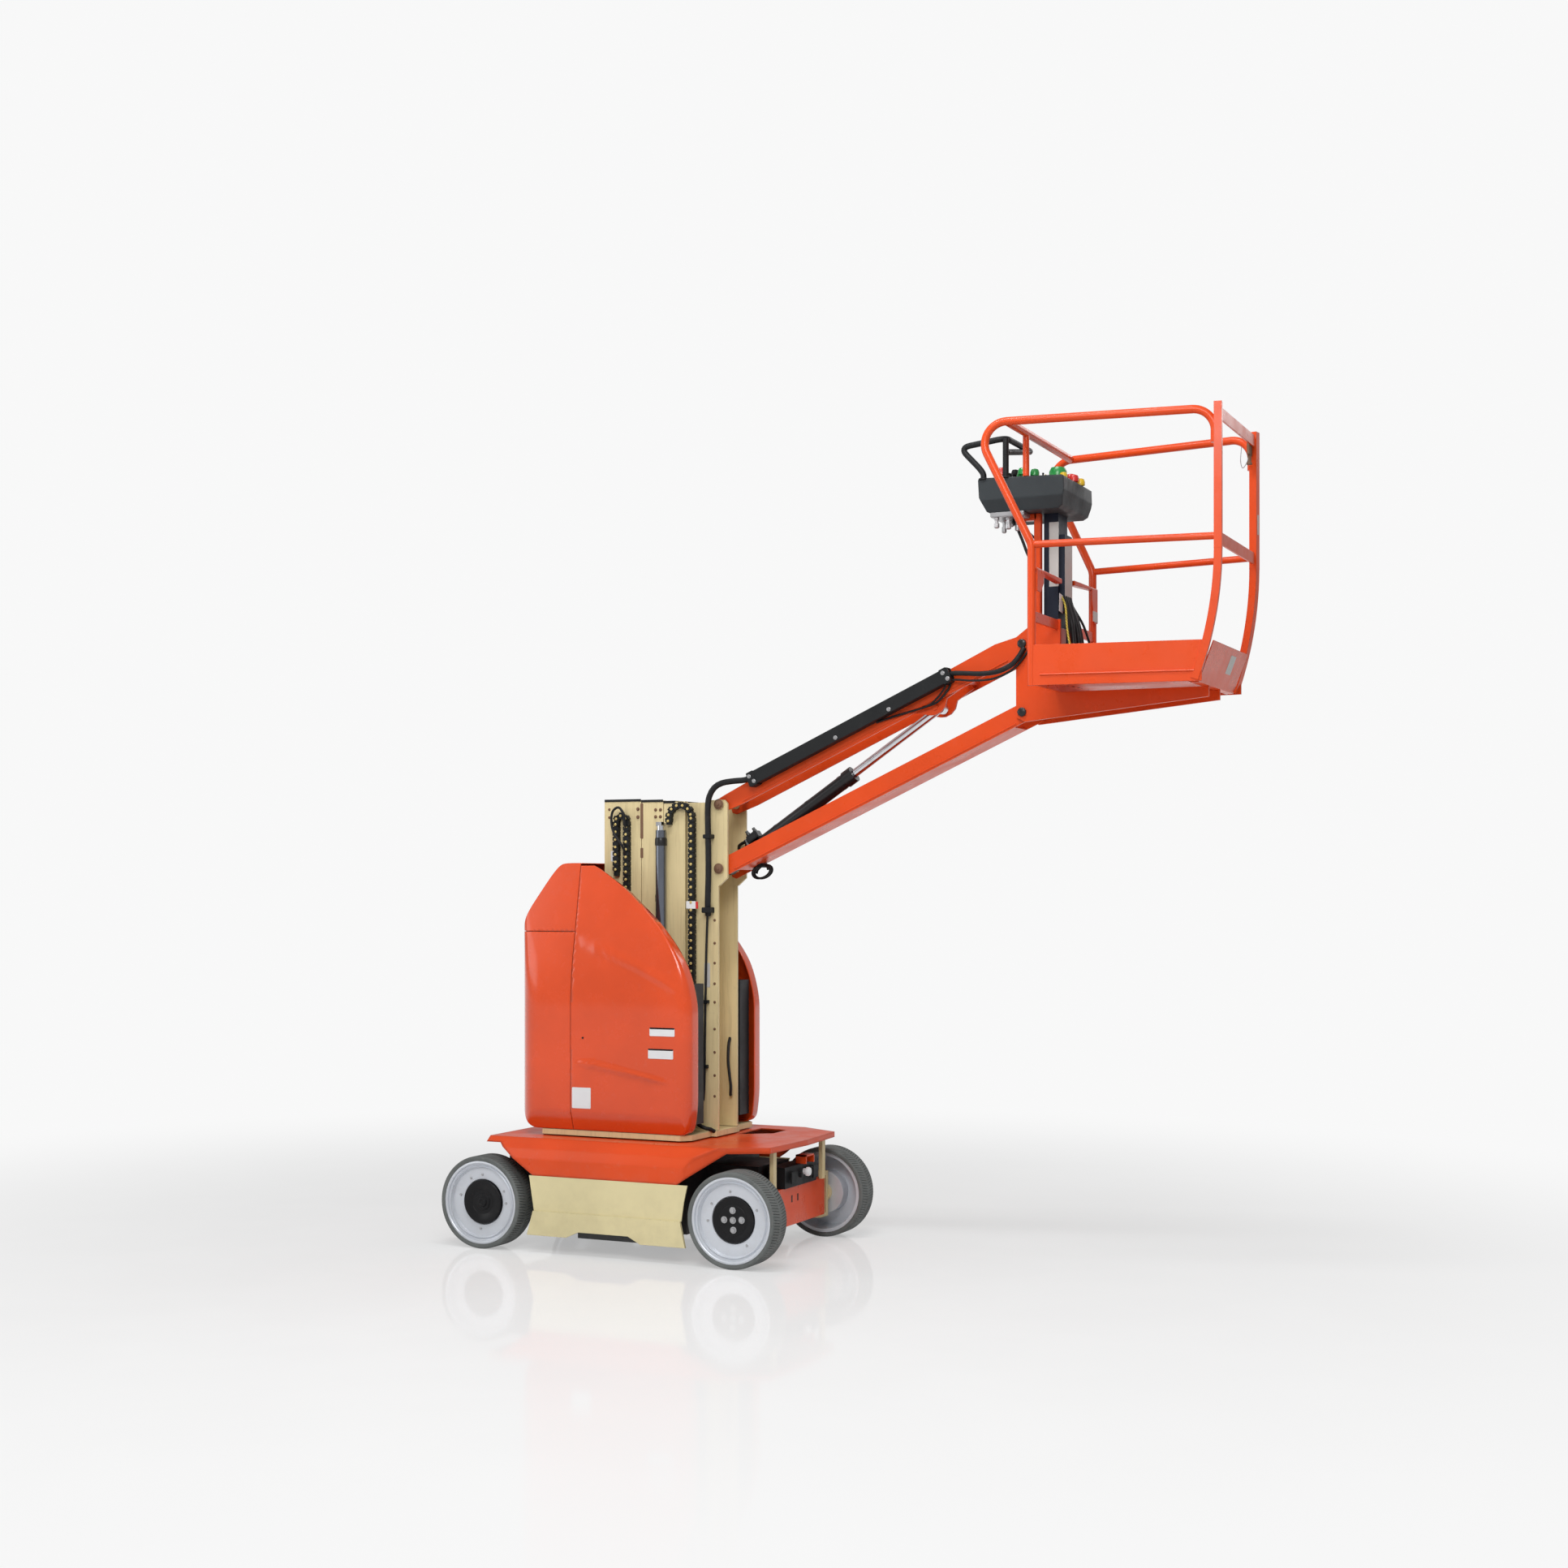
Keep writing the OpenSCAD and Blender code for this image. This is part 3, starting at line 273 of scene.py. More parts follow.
# Mesh building
class Shape:
    """Collects solid forms in one mesh, then makes a piece of it."""

    def __init__(self):
        self.bm = bmesh.new()

    def skin(self, rings):
        """Faces from each ring to the next, and over the two end rings."""
        for first, second in zip(rings, rings[1:]):
            count = max(len(first), len(second))
            for i in range(count):
                j = (i + 1) % count
                corners = []
                for corner in (first[i % len(first)], first[j % len(first)], second[j % len(second)],
                        second[i % len(second)]):
                    if corner not in corners:
                        corners.append(corner)
                if len(corners) > 2:
                    self.bm.faces.new(corners)
        for ring in (rings[0], rings[-1]):
            if len(ring) > 2:
                self.bm.faces.new(ring)

    def revolve(self, profile, at, axis, segments=40):
        """profile: (radius, distance along axis) points; a radius of 0 closes an end."""
        turn = Vector(axis).to_track_quat("Z", "Y").to_matrix()
        rings = []
        for radius, along in profile:
            count = segments if radius > 0 else 1
            rings.append([self.bm.verts.new(Vector(at) + turn @ Vector((
                radius * cos(tau * i / count), radius * sin(tau * i / count), along)))
                for i in range(count)])
        self.skin(rings)

    def tube(self, path, radius, sides=12):
        points = [Vector(p) for p in path]
        tangent = (points[1] - points[0]).normalized()
        across = tangent.orthogonal().normalized()
        rings = []
        for i, point in enumerate(points):
            ahead = points[min(i + 1, len(points) - 1)] - points[max(i - 1, 0)]
            ahead.normalize()
            across = (across - ahead * across.dot(ahead)).normalized()
            side = ahead.cross(across)
            rings.append([self.bm.verts.new(point + radius * (
                across * cos(tau * k / sides) + side * sin(tau * k / sides))) for k in range(sides)])
        self.skin(rings)

    def prism(self, outline, along, bevel=0.0, steps=2):
        """outline: corner points of one face; along: the vector to the other face."""
        along = Vector(along)
        rings = [[self.bm.verts.new(Vector(p)) for p in outline],
            [self.bm.verts.new(Vector(p) + along) for p in outline]]
        self.skin(rings)
        if bevel:
            corners = {v for ring in rings for v in ring}
            edges = [e for e in self.bm.edges if e.verts[0] in corners and e.verts[1] in corners]
            bmesh.ops.bevel(self.bm, geom=edges, offset=bevel, segments=steps, affect="EDGES",
                clamp_overlap=True)

    def block(self, low, high, bevel=0.0012, steps=2):
        (x0, y0, z0), (x1, y1, z1) = low, high
        self.prism([(x0, y0, z0), (x1, y0, z0), (x1, y1, z0), (x0, y1, z0)], (0, 0, z1 - z0), bevel, steps)

    def bolt(self, at, axis, size=0.014):
        """A washer, a hexagon head and its shallow dome."""
        r = size / 2
        self.revolve([(0, -0.001), (r * 1.35, -0.001), (r * 1.35, r * 0.16), (r * 1.2, r * 0.22),
            (0, r * 0.22)], at, axis, 20)
        self.revolve([(0, 0), (r, 0), (r, r * 0.75), (r * 0.82, r * 0.95), (0, r * 0.95)], at, axis, 6)

    def piece(self, name, material, body=None, sharp=35, replaces=()):
        bmesh.ops.recalc_face_normals(self.bm, faces=self.bm.faces)
        for face in self.bm.faces:
            face.smooth = True
        for edge in self.bm.edges:
            edge.smooth = edge.calc_face_angle(0) < radians(sharp)
        mesh = bpy.data.meshes.new(name)
        self.bm.to_mesh(mesh)
        self.bm.free()
        mesh.materials.append(material)
        made = bpy.data.objects.new(name, mesh)
        bpy.context.scene.collection.objects.link(made)
        if body:
            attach(made, body)
        if replaces:
            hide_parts(*replaces)
        return made


def smooth_path(points, step):
    """A Catmull-Rom curve through the points, with a vertex about every step."""
    points = [Vector(p) for p in points]
    padded = [2 * points[0] - points[1], *points, 2 * points[-1] - points[-2]]
    path = []
    for a, b, c, d in zip(padded, padded[1:], padded[2:], padded[3:]):
        count = max(2, round((c - b).length / step))
        for i in range(count):
            t = i / count
            path.append(0.5 * (2 * b + (c - a) * t + (2 * a - 5 * b + 4 * c - d) * t * t
                + (3 * b - a - 3 * c + d) * t ** 3))
    path.append(points[-1])
    return path


def hose(name, points, diameter, body, material=None, to_body=None):
    """A hose or cable from the object back into it. With to_body given, it is attached to no body."""
    path = smooth_path(points, diameter * 0.7)
    shape = Shape()
    shape.tube(path, diameter / 2, 12)
    made = shape.piece(name, material or hose_rubber, None if to_body else body)
    if to_body:
        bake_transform(made)


def rope_material():
    material = bpy.data.materials.new("yellow_rope")
    n = Nodes(material)
    strands = n.add("ShaderNodeTexWave", wave_type="BANDS", bands_direction="DIAGONAL")
    strands.inputs["Scale"].default_value = 55
    n.link(n.coords, strands.inputs["Vector"])
    base = n.mix(strands.outputs["Fac"], (0.3, 0.24, 0.03), (0.78, 0.66, 0.1))
    n.link(n.mix(n.ramp(n.noise(60, 4), 0.5, 0.7, 0, 0.6), base, (0.12, 0.11, 0.06)),
        n.shader.inputs["Base Color"])
    n.shader.inputs["Roughness"].default_value = 0.8
    n.link(n.bump(strands.outputs["Fac"], 0.8, 0.001), n.shader.inputs["Normal"])
    return material


def hose_material():
    material = bpy.data.materials.new("hose_rubber")
    n = Nodes(material)
    weave = n.noise(260, 3, 0.6, (1, 1, 0.25))
    n.link(n.mix(n.ramp(n.noise(35, 5, 0.7), 0.5, 0.75, 0, 0.5), (0.01, 0.01, 0.011), (0.035, 0.032, 0.029)),
        n.shader.inputs["Base Color"])
    n.link(n.ramp(n.noise(20, 4), 0.3, 0.7, 0.38, 0.6), n.shader.inputs["Roughness"])
    n.shader.inputs["Specular IOR Level"].default_value = 0.25
    n.link(n.bump(weave, 0.3, 0.0005), n.shader.inputs["Normal"])
    return material


hose_rubber = hose_material()
yellow_rope = rope_material()
zinc = paint("zinc", (0.42, 0.42, 0.43), 0.35, 0.0, (0.55, 0.55, 0.56), 0.0008, 0.3, (0.22, 0.19, 0.15),
    metallic=0.7)
brass_pins = paint("brass_pins", (0.62, 0.47, 0.17), 0.4, 0.0, None, 0.0006, 0.2, (0.25, 0.18, 0.08),
    metallic=0.35)
rusty_steel = paint("rusty_steel", (0.17, 0.085, 0.045), 0.6, 0.0, None, 0.001, 0.5, (0.09, 0.055, 0.035),
    grain=0.4, grain_scale=400)
label_white = paint("label_white", (0.74, 0.75, 0.76), 0.35, 0.1, None, 0.0005, 0.25, (0.52, 0.51, 0.49),
    grain=0.03)
label_pale = paint("label_pale", (0.5, 0.49, 0.47), 0.45, 0.0, None, 0.0005, 0.5, (0.27, 0.27, 0.26),
    grain=0.05)
# Near-black: painted shade in the hood seams and beam slots, and the dark colour of the hood studs.
painted_shade_and_stud_dark = paint("painted_shade_and_stud_dark", (0.03, 0.012, 0.008), 0.7, 0.0, None, 0.0005, 0.1, (0.02, 0.02, 0.02))
hub_black = paint("hub_black", (0.008, 0.008, 0.009), 0.42, 0.0, (0.04, 0.038, 0.035), 0.0012, 0.25,
    (0.035, 0.032, 0.03), grain=0.2, specular=0.2)

SIDES = {"near": -1, "far": 1}
JIB_X = 0.341
JIB_Z = 1.643
JIB_LENGTH = 1.507
JIB_ANGLE = radians(24.6)
PIN_PITCH = 0.277
MAST_PIN = Vector((JIB_X, 0, JIB_Z))
EDGE_R = 0.0042


# Wheels: sliced tread, hub cover with its screws, screws on the disc
WHEEL_R = 0.2
TYRE_IN = 0.18
WHEEL_W = 0.125
WHEEL_FACE = 0.52
AXLE_X = 0.605
HUB_R = 0.0945
SIPES = 104
SIPE_DEPTH = 0.0028
SIPE_SLANT = 0.9
HUB_FACE = 0.4836
HUB_SCREW_FACE = 0.4944
RIM_SCREW_FACE = 0.4898
RIM_SCREW_R = 0.117


def tyre(name, x, side):
    """A tread with slanted sipes. Its section is (radius, distance across, share of a sipe's depth)."""
    inner = WHEEL_FACE - WHEEL_W
    shoulder = [(TYRE_IN - 0.0008, 0.002, 0), (0.186, 0.0008, 0), (0.192, 0, 0), (0.1955, 0.0012, 0),
        (0.1985, 0.0045, 0.5), (0.1998, 0.009, 1)]
    crown = ((0.016, 1), (0.034, 1), (0.052, 1), (0.0545, 0), (0.0705, 0), (0.073, 1), (0.091, 1))
    across = shoulder + [(WHEEL_R, y, cut) for y, cut in crown]
    across += [(radius, WHEEL_W - y, cut) for radius, y, cut in reversed(shoulder)]
    shape = Shape()
    rings = []
    step = tau / SIPES
    for k in range(SIPES):
        for offset, depth in ((0.0, 0), (0.42, 0), (0.47, 1), (0.58, 1), (0.63, 0)):
            ring = []
            for radius, y, cut in across:
                angle = (k + offset) * step + SIPE_SLANT * abs(y - WHEEL_W / 2)
                r = radius - SIPE_DEPTH * depth * cut
                ring.append(shape.bm.verts.new((x + r * cos(angle), side * (inner + y),
                    WHEEL_R + r * sin(angle))))
            rings.append(ring)
    for first, second in zip(rings, rings[1:] + rings[:1]):
        for i in range(len(first)):
            j = (i + 1) % len(first)
            shape.bm.faces.new((first[i], first[j], second[j], second[i]))
    shape.piece(name + "_tread", tyre_rubber, "wheel_" + name, 40, ("tyre_" + name,))


def wheel(end, side_name):
    """The tread, hub cover and screws of one wheel."""
    name = f"{end}_{side_name}"
    side = SIDES[side_name]
    x = AXLE_X if end == "front" else -AXLE_X
    tyre(name, x, side)
    out = (0, side, 0)
    centre = (x, side * HUB_FACE, WHEEL_R)
    cover = Shape()
    if end == "front":
        cover.revolve([(HUB_R, 0), (HUB_R, 0.0085), (HUB_R - 0.0022, 0.0108), (0.074, 0.0108),
            (0.072, 0.0098), (0.062, 0.0098), (0.06, 0.0112), (0, 0.0112)], centre, out, 72)
        screws = [(0, 0)] + [(0.04, radians(a)) for a in (4, 92, 180, 273)]
        rim_angles = (97, 24, -58, 184, 148)
    else:
        cover.revolve([(HUB_R, 0), (HUB_R, 0.014), (HUB_R - 0.003, 0.0175), (0.074, 0.0175), (0.069, 0.015),
            (0.056, 0.014), (0.052, 0.011), (0.036, 0.011), (0.034, 0.0145), (0.022, 0.0155), (0.02, 0.02),
            (0.012, 0.0212), (0.01, 0.019), (0, 0.019)], centre, out, 72)
        screws = []
        rim_angles = (92, 122, 26, 168, 264, 0)
    cover.piece(name + "_hub_cover", hub_black, "wheel_" + name)
    heads = Shape()
    for radius, angle in screws:
        heads.bolt((x + radius * cos(angle), side * HUB_SCREW_FACE, WHEEL_R + radius * sin(angle)), out,
            0.021)
    if screws:
        heads.piece(name + "_hub_screws", zinc, "wheel_" + name)
    small = Shape()
    for angle in rim_angles:
        a = radians(angle)
        small.bolt((x + RIM_SCREW_R * cos(a), side * RIM_SCREW_FACE, WHEEL_R + RIM_SCREW_R * sin(a)), out,
            0.011)
    small.piece(name + "_rim_screws", zinc, "wheel_" + name)


for end in ("front", "rear"):
    for side_name in SIDES:
        wheel(end, side_name)

# Hood and covers as smooth moulded skins over the CAD outline
HOOD_Y = 0.36
HOOD_LOW = 0.512
HOOD_TOP = 1.668
TAIL_X = -0.535
NOSE_X = 0.33
SEAM_X = -0.246
SEAM_Z = 1.37
SEAM_GAP = 0.0014
HOOD_WALL = 0.004
HOOD_INNER_Y = 0.272
EDGE_REACH = 0.06
EDGE_DROP = 0.04
CORNER_X = -0.405
CORNER_R = 0.13
SIDE_VIEW = [(-0.475, HOOD_LOW), (0.314, HOOD_LOW), (NOSE_X, 0.632), (NOSE_X, 1.06), (0.31, 1.155),
    (0.282, 1.232), (0.24, 1.3), (0.192, 1.363), (0.14, 1.42), (0.0, 1.547), (-0.14, 1.639), (-0.2, HOOD_TOP),
    (-0.33, HOOD_TOP), (-0.356, 1.654), (-0.392, 1.61), (-0.491, 1.46), (-0.523, 1.38), (TAIL_X, 1.29),
    (TAIL_X, 1.276), (-0.526, 1.262), (-0.526, 0.85), (TAIL_X, 0.836), (TAIL_X, 0.69), (-0.525, 0.62)]
UPPER_CREASE = [(-0.225, 1.33), (-0.08, 1.283), (0.08, 1.222), (0.2, 1.165), (0.275, 1.118)]
LOWER_CREASE = [(-0.218, 0.79), (-0.198, 0.808), (-0.15, 0.802), (0.04, 0.77), (0.225, 0.737)]


def rounded_outline(corners, cut, steps=6):
    """The closed outline with each corner turned into a small curve."""
    points = []
    count = len(corners)
    for i in range(count):
        a, b, c = (Vector(corners[(i + k) % count]) for k in (-1, 0, 1))
        start = b + (a - b) * min(0.45, cut / (a - b).length)
        end = b + (c - b) * min(0.45, cut / (c - b).length)
        points += [(1 - t) ** 2 * start + 2 * t * (1 - t) * b + t * t * end
            for t in (k / steps for k in range(steps + 1))]
    return points


def resampled(points, count):
    points = points + [points[0]]
    lengths = [0.0]
    for a, b in zip(points, points[1:]):
        lengths.append(lengths[-1] + (b - a).length)
    result, k = [], 0
    for i in range(count):
        target = lengths[-1] * i / count
        while lengths[k + 1] < target:
            k += 1
        t = (target - lengths[k]) / max(1e-9, lengths[k + 1] - lengths[k])
        result.append(points[k] + (points[k + 1] - points[k]) * t)
    return result


def nearest(points, line, closed=False):
    """Distance from each of many points to a polyline, and how far along it the nearest point is (0 to 1)."""
    points = np.asarray(points)
    line = np.asarray([tuple(p) for p in line])
    if closed:
        line = np.vstack((line, line[:1]))
    best = np.full(len(points), 9.0)
    along = np.zeros(len(points))
    spans = np.linalg.norm(np.diff(line, axis=0), axis=1)
    total, run = spans.sum(), 0.0
    for a, b, span in zip(line, line[1:], spans):
        t = np.clip(((points - a) @ (b - a)) / span ** 2, 0, 1)
        gap = np.linalg.norm(points - a - t[:, None] * (b - a), axis=1)
        closer = gap < best
        best[closer] = gap[closer]
        along[closer] = (run + t[closer] * span) / total
        run += span
    return best, along


def soft_min(a, b, width):
    h = np.clip(0.5 + 0.5 * (b - a) / width, 0, 1)
    return b * (1 - h) + a * h - width * h * (1 - h)


HOOD_OUTLINE = resampled(rounded_outline(SIDE_VIEW, 0.045), 440)


def hood_y(points):
    """Half width of the hood at (x, z) points of its side."""
    x, z = np.asarray(points)[:, 0], np.asarray(points)[:, 1]
    edge, _ = nearest(points, HOOD_OUTLINE, True)
    t = np.clip(1 - edge / EDGE_REACH, 0, 1)
    y = HOOD_Y - EDGE_DROP * (1 - np.sqrt(np.clip(1 - t * t, 0, 1)))
    corner = np.clip(CORNER_X - x, 0, CORNER_R)
    rear_round = HOOD_Y - CORNER_R + np.sqrt(np.clip(CORNER_R ** 2 - corner ** 2, 0, 1)) + 0.002
    tucked_foot = HOOD_Y - 0.028 * (0.597 - z) / 0.086
    sloped_top = HOOD_Y - 0.09 * (z - 1.15) / 0.518
    y = soft_min(soft_min(soft_min(y, rear_round, 0.006), tucked_foot, 0.0012), sloped_top, 0.022)
    for line, width, height in ((UPPER_CREASE, 0.013, 0.008), (LOWER_CREASE, 0.0085, 0.009)):
        gap, along = nearest(points, line)
        fade = np.clip(np.minimum(along, 1 - along) * 6, 0, 1)
        y = y + height * fade * np.exp(-(gap / width) ** 2)
    return y


def hood_skin():
    """Both sides and the strip round them, as one closed skin."""
    bm = bmesh.new()
    spine = (Vector((-0.09, 0.86)), Vector((-0.09, 1.04)))
    insets = [0, 0.0008, 0.002, 0.004, 0.007, 0.011, 0.016, 0.022, 0.029, 0.037, 0.046, 0.056, 0.066]
    shares = [i / 24 for i in range(1, 24)]
    flat = []
    for p in HOOD_OUTLINE:
        target = Vector((spine[0].x, min(max(p.y, spine[0].y), spine[1].y)))
        reach = (target - p).length
        stops = [i / reach for i in insets]
        stops += [stops[-1] + (1 - stops[-1]) * s for s in shares]
        flat.append([p + (target - p) * s for s in stops])
    across = len(flat[0])
    widths = hood_y([tuple(p) for row in flat for p in row]).reshape(len(flat), across)
    strip = 8
    for side in (-1, 1):
        grid = []
        for row, ys in zip(flat, widths):
            verts = [bm.verts.new((row[0].x, side * ys[0] * k / strip, row[0].y)) for k in range(strip)]
            verts += [bm.verts.new((p.x, side * y, p.y)) for p, y in zip(row, ys)]
            grid.append(verts)
        for a, b in zip(grid, grid[1:] + grid[:1]):
            for i in range(len(a) - 1):
                bm.faces.new((a[i], a[i + 1], b[i + 1], b[i]))
        bm.faces.new([verts[-1] for verts in grid])
    bmesh.ops.remove_doubles(bm, verts=bm.verts, dist=1e-5)
    bmesh.ops.recalc_face_normals(bm, faces=bm.faces)
    return bm


def cut(bm, at, normal):
    """Keeps what lies on the normal's side of a plane."""
    bmesh.ops.bisect_plane(bm, geom=bm.verts[:] + bm.edges[:] + bm.faces[:], plane_co=at, plane_no=normal,
        clear_inner=True)


def moulding(name, planes, node):
    """The part of the skin that lies on the inner side of the planes, given its wall."""
    bm = skin_mold.copy()
    for at, normal in planes:
        cut(bm, at, normal)
    shape = Shape()
    shape.bm.free()
    shape.bm = bm
    made = shape.piece(name, orange_moulding, "turret", 75, (node,))
    wall = made.modifiers.new("wall", "SOLIDIFY")
    wall.thickness = HOOD_WALL
    wall.offset = -1


skin_mold = hood_skin()
for side_name, side in SIDES.items():
    moulding("hood_skin_" + side_name, [((SEAM_X + SEAM_GAP, 0, 0), (1, 0, 0)),
        ((0, side * HOOD_INNER_Y, 0), (0, side, 0))], "hood_" + side_name)
moulding("cover_skin_lower", [((SEAM_X - SEAM_GAP, 0, 0), (-1, 0, 0)),
    ((0, 0, SEAM_Z - SEAM_GAP), (0, 0, -1))], "rear_cover_lower")
moulding("cover_skin_upper", [((SEAM_X - SEAM_GAP, 0, 0), (-1, 0, 0)),
    ((0, 0, SEAM_Z + SEAM_GAP), (0, 0, 1))], "rear_cover_upper")
skin_mold.free()


def seam_shade_strip(shape, line, side, width=0.012, depth=0.0045):
    """A dark strip just under the surface behind an open seam: painted shade inside the gap."""
    points = smooth_path([(x, z, 0) for x, z in line], 0.02)
    rings = []
    for i, p in enumerate(points):
        ahead = (points[min(i + 1, len(points) - 1)] - points[max(i - 1, 0)]).normalized()
        beside = Vector((-ahead.y, ahead.x, 0)) * width / 2
        pair = [(p.x + beside.x * s, p.y + beside.y * s) for s in (-1, 1)]
        ys = hood_y(pair) - depth
        rings.append([shape.bm.verts.new((x, side * (y - deep), z)) for deep in (0, 0.002) for (x, z),
            y in (zip(pair, ys) if deep == 0 else zip(pair[::-1], ys[::-1]))])
    shape.skin(rings)


def label(shape, x0, x1, z0, z1, y, side, thick=0.0008):
    r = 0.004
    corners = []
    for cx, cz, start in ((x1 - r, z0 + r, -90), (x1 - r, z1 - r, 0), (x0 + r, z1 - r, 90),
            (x0 + r, z0 + r, 180)):
        corners += [(cx + r * cos(radians(start + t)), side * (y - 0.0005),
            cz + r * sin(radians(start + t))) for t in (0, 30, 60, 90)]
    shape.prism(corners, (0, side * (thick + 0.0005), 0))


for side_name, side in SIDES.items():
    lines = Shape()
    # Dark strips just under the seams are painted shade inside the gaps.
    seam_shade_strip(lines, [(SEAM_X, 0.53), (SEAM_X, 0.9), (SEAM_X, 1.3), (SEAM_X, 1.64)], side)
    seam_shade_strip(lines, [(-0.5, SEAM_Z), (-0.4, SEAM_Z), (SEAM_X - 0.01, SEAM_Z)], side)
    lines.piece("painted_seam_shade_" + side_name, painted_shade_and_stud_dark, "turret")
    blanks = Shape()
    label(blanks, 0.143, 0.263, 0.932, 0.968, HOOD_Y, side)
    label(blanks, 0.136, 0.256, 0.836, 0.878, HOOD_Y, side)
    label(blanks, -0.238, -0.145, 0.61, 0.7, HOOD_Y, side)
    blanks.piece("blank_labels_" + side_name, label_white, "turret")
    strips = Shape()
    label(strips, 0.143, 0.263, 0.9615, 0.968, HOOD_Y + 0.0004, side)
    label(strips, 0.136, 0.256, 0.8715, 0.878, HOOD_Y + 0.0004, side)
    strips.piece("label_edges_" + side_name, black_plastic, "turret")
    studs = Shape()
    studs.bolt((-0.185, side * HOOD_Y, 0.914), (0, side, 0), 0.007)
    studs.piece("hood_studs_" + side_name, painted_shade_and_stud_dark, "turret")

# Mast: cap strips, pins of the energy chains, labels, bolts along the edge
CHAIN_Y = -0.1343


def arch_pins(shape, x, z_low, z_turn, radius, z_low_other, pitch=0.033):
    """Pin heads up one run, round the arch and down the other run. x: centre of the arch."""
    runs = []
    z = z_low + 0.012
    while z < z_turn:
        runs.append((x + radius, z))
        z += pitch
    count = round(pi * radius / pitch)
    for i in range(count + 1):
        a = pi * (i + 0.5) / (count + 1)
        runs.append((x + radius * cos(a), z_turn + radius * sin(a)))
    z = z_turn - 0.012
    while z > z_low_other:
        runs.append((x - radius, z))
        z -= pitch
    for px, pz in runs:
        shape.revolve([(0, -0.0012), (0.0062, -0.0012), (0.0062, 0.0018), (0.0048, 0.0032), (0, 0.0038)],
            (px, CHAIN_Y, pz), (0, -1, 0), 14)


rear_pins = Shape()
arch_pins(rear_pins, -0.126, 0.66, 1.85, 0.026, 1.62)
rear_pins.piece("rear_chain_pins", brass_pins, "turret")
front_pins = Shape()
arch_pins(front_pins, 0.166, 0.66, 1.862, 0.056, 1.83)
front_pins.piece("front_chain_pins", brass_pins, "mast_stage_2")


def mast_cap(name, body, x0, x1, top, half, cover_end):
    """A plate over a section's top, up to the next section's tongue, with a lip down its two sides."""
    cap = Shape()
    cap.block((x0, -half, top - 0.0005), (cover_end, half, top + 0.004), 0.001)
    for side in (-1, 1):
        low, high = sorted((side * (half + 0.0002), side * (half + 0.0024)))
        cap.block((x0, low, top - 0.007), (x1, high, top + 0.004), 0.0006)
    cap.piece(name, black_plastic, body)


mast_cap("mast_cap_fixed", "turret", -0.2195, -0.0365, 1.945, 0.11, -0.087)
mast_cap("mast_cap_1", "mast_stage_1", -0.0355, 0.0735, 1.941, 0.11, 0.023)
mast_cap("mast_cap_2", "mast_stage_2", 0.0745, 0.132, 1.935, 0.11, 0.131)

MAST_Y = 0.11
marks = Shape()
label(marks, -0.188, -0.143, 1.676, 1.722, MAST_Y, -1)
marks.piece("mast_label", label_white, "turret")
slot_shape = Shape()
label(slot_shape, -0.0395, -0.0255, 1.775, 1.93, MAST_Y, -1, 0.0006)
label(slot_shape, -0.0395, -0.0255, 1.69, 1.735, MAST_Y, -1, 0.0006)
slot_shape.piece("mast_wear_strip", rusty_steel, "turret")
pale = Shape()
label(pale, 0.268, 0.296, 1.13, 1.235, 0.096, -1)
pale.piece("carriage_label", label_pale, "carriage")
edge_bolts = Shape()
for z in (0.66, 0.75, 0.85, 0.95, 1.066, 1.146, 1.235, 1.321, 1.42):
    edge_bolts.bolt((0.318, -0.0958, z), (0, -1, 0), 0.009)
for z in (0.7, 1.0, 1.3, 1.6, 1.86):
    edge_bolts.bolt((0.318, 0.0958, z), (0, 1, 0), 0.009)
edge_bolts.piece("carriage_bolts", rusty_steel, "carriage")
stage_bolts = Shape()
for z in (1.905, 1.87):
    stage_bolts.bolt((-0.052, -MAST_Y, z), (0, -1, 0), 0.012)
    stage_bolts.bolt((-0.196, -MAST_Y, z), (0, -1, 0), 0.009)
stage_bolts.piece("mast_bolts", rusty_steel, "turret")
upper_bolts = Shape()
for x in (0.036, 0.06):
    for z in (1.9, 1.87):
        upper_bolts.bolt((x, -MAST_Y, z), (0, -1, 0), 0.011)
upper_bolts.piece("stage_1_bolts", rusty_steel, "mast_stage_1")
pins = Shape()
for z in (JIB_Z, JIB_Z + PIN_PITCH):
    for side in (-1, 1):
        pins.revolve([(0, -0.001), (0.0225, -0.001), (0.0225, 0.0016), (0.017, 0.0022), (0.015, 0.0062),
            (0.0105, 0.0078), (0, 0.0082)], (JIB_X, side * 0.1036, z), (0, side, 0), 36)
        pins.bolt((JIB_X, side * 0.1108, z), (0, side, 0), 0.012)
pins.piece("mast_pin_heads", rusty_steel, "carriage")

# Lift cylinder: gland
gland = Shape()
gland.revolve([(0.0185, 0), (0.0255, 0.001), (0.0262, 0.006), (0.0262, 0.03), (0.0235, 0.036),
    (0.0185, 0.037)], (0.078, -0.139, 1.742), (0, 0, 1), 40)
gland.piece("lift_gland", black_paint, "mast_stage_1")

# Hoses on the mast
hose("rear_chain_loop", [(-0.1, -0.128, 1.7), (-0.112, -0.146, 1.745), (-0.15, -0.15, 1.8),
    (-0.163, -0.15, 1.85), (-0.156, -0.15, 1.895), (-0.128, -0.149, 1.912), (-0.104, -0.148, 1.885),
    (-0.1, -0.142, 1.845), (-0.1, -0.128, 1.815)], 0.011, "turret")
hose("mast_riser", [(0.292, -0.108, 1.44), (0.297, -0.12, 1.5), (0.302, -0.123, 1.64), (0.3, -0.123, 1.8),
    (0.299, -0.124, 1.9), (0.306, -0.124, 1.952), (0.33, -0.124, 1.99), (0.366, -0.121, 2.01),
    (0.42, -0.113, 2.018), (0.47, -0.105, 2.022), (0.51, -0.103, 2.036)], 0.026, "carriage",
    to_body="upper_arm")
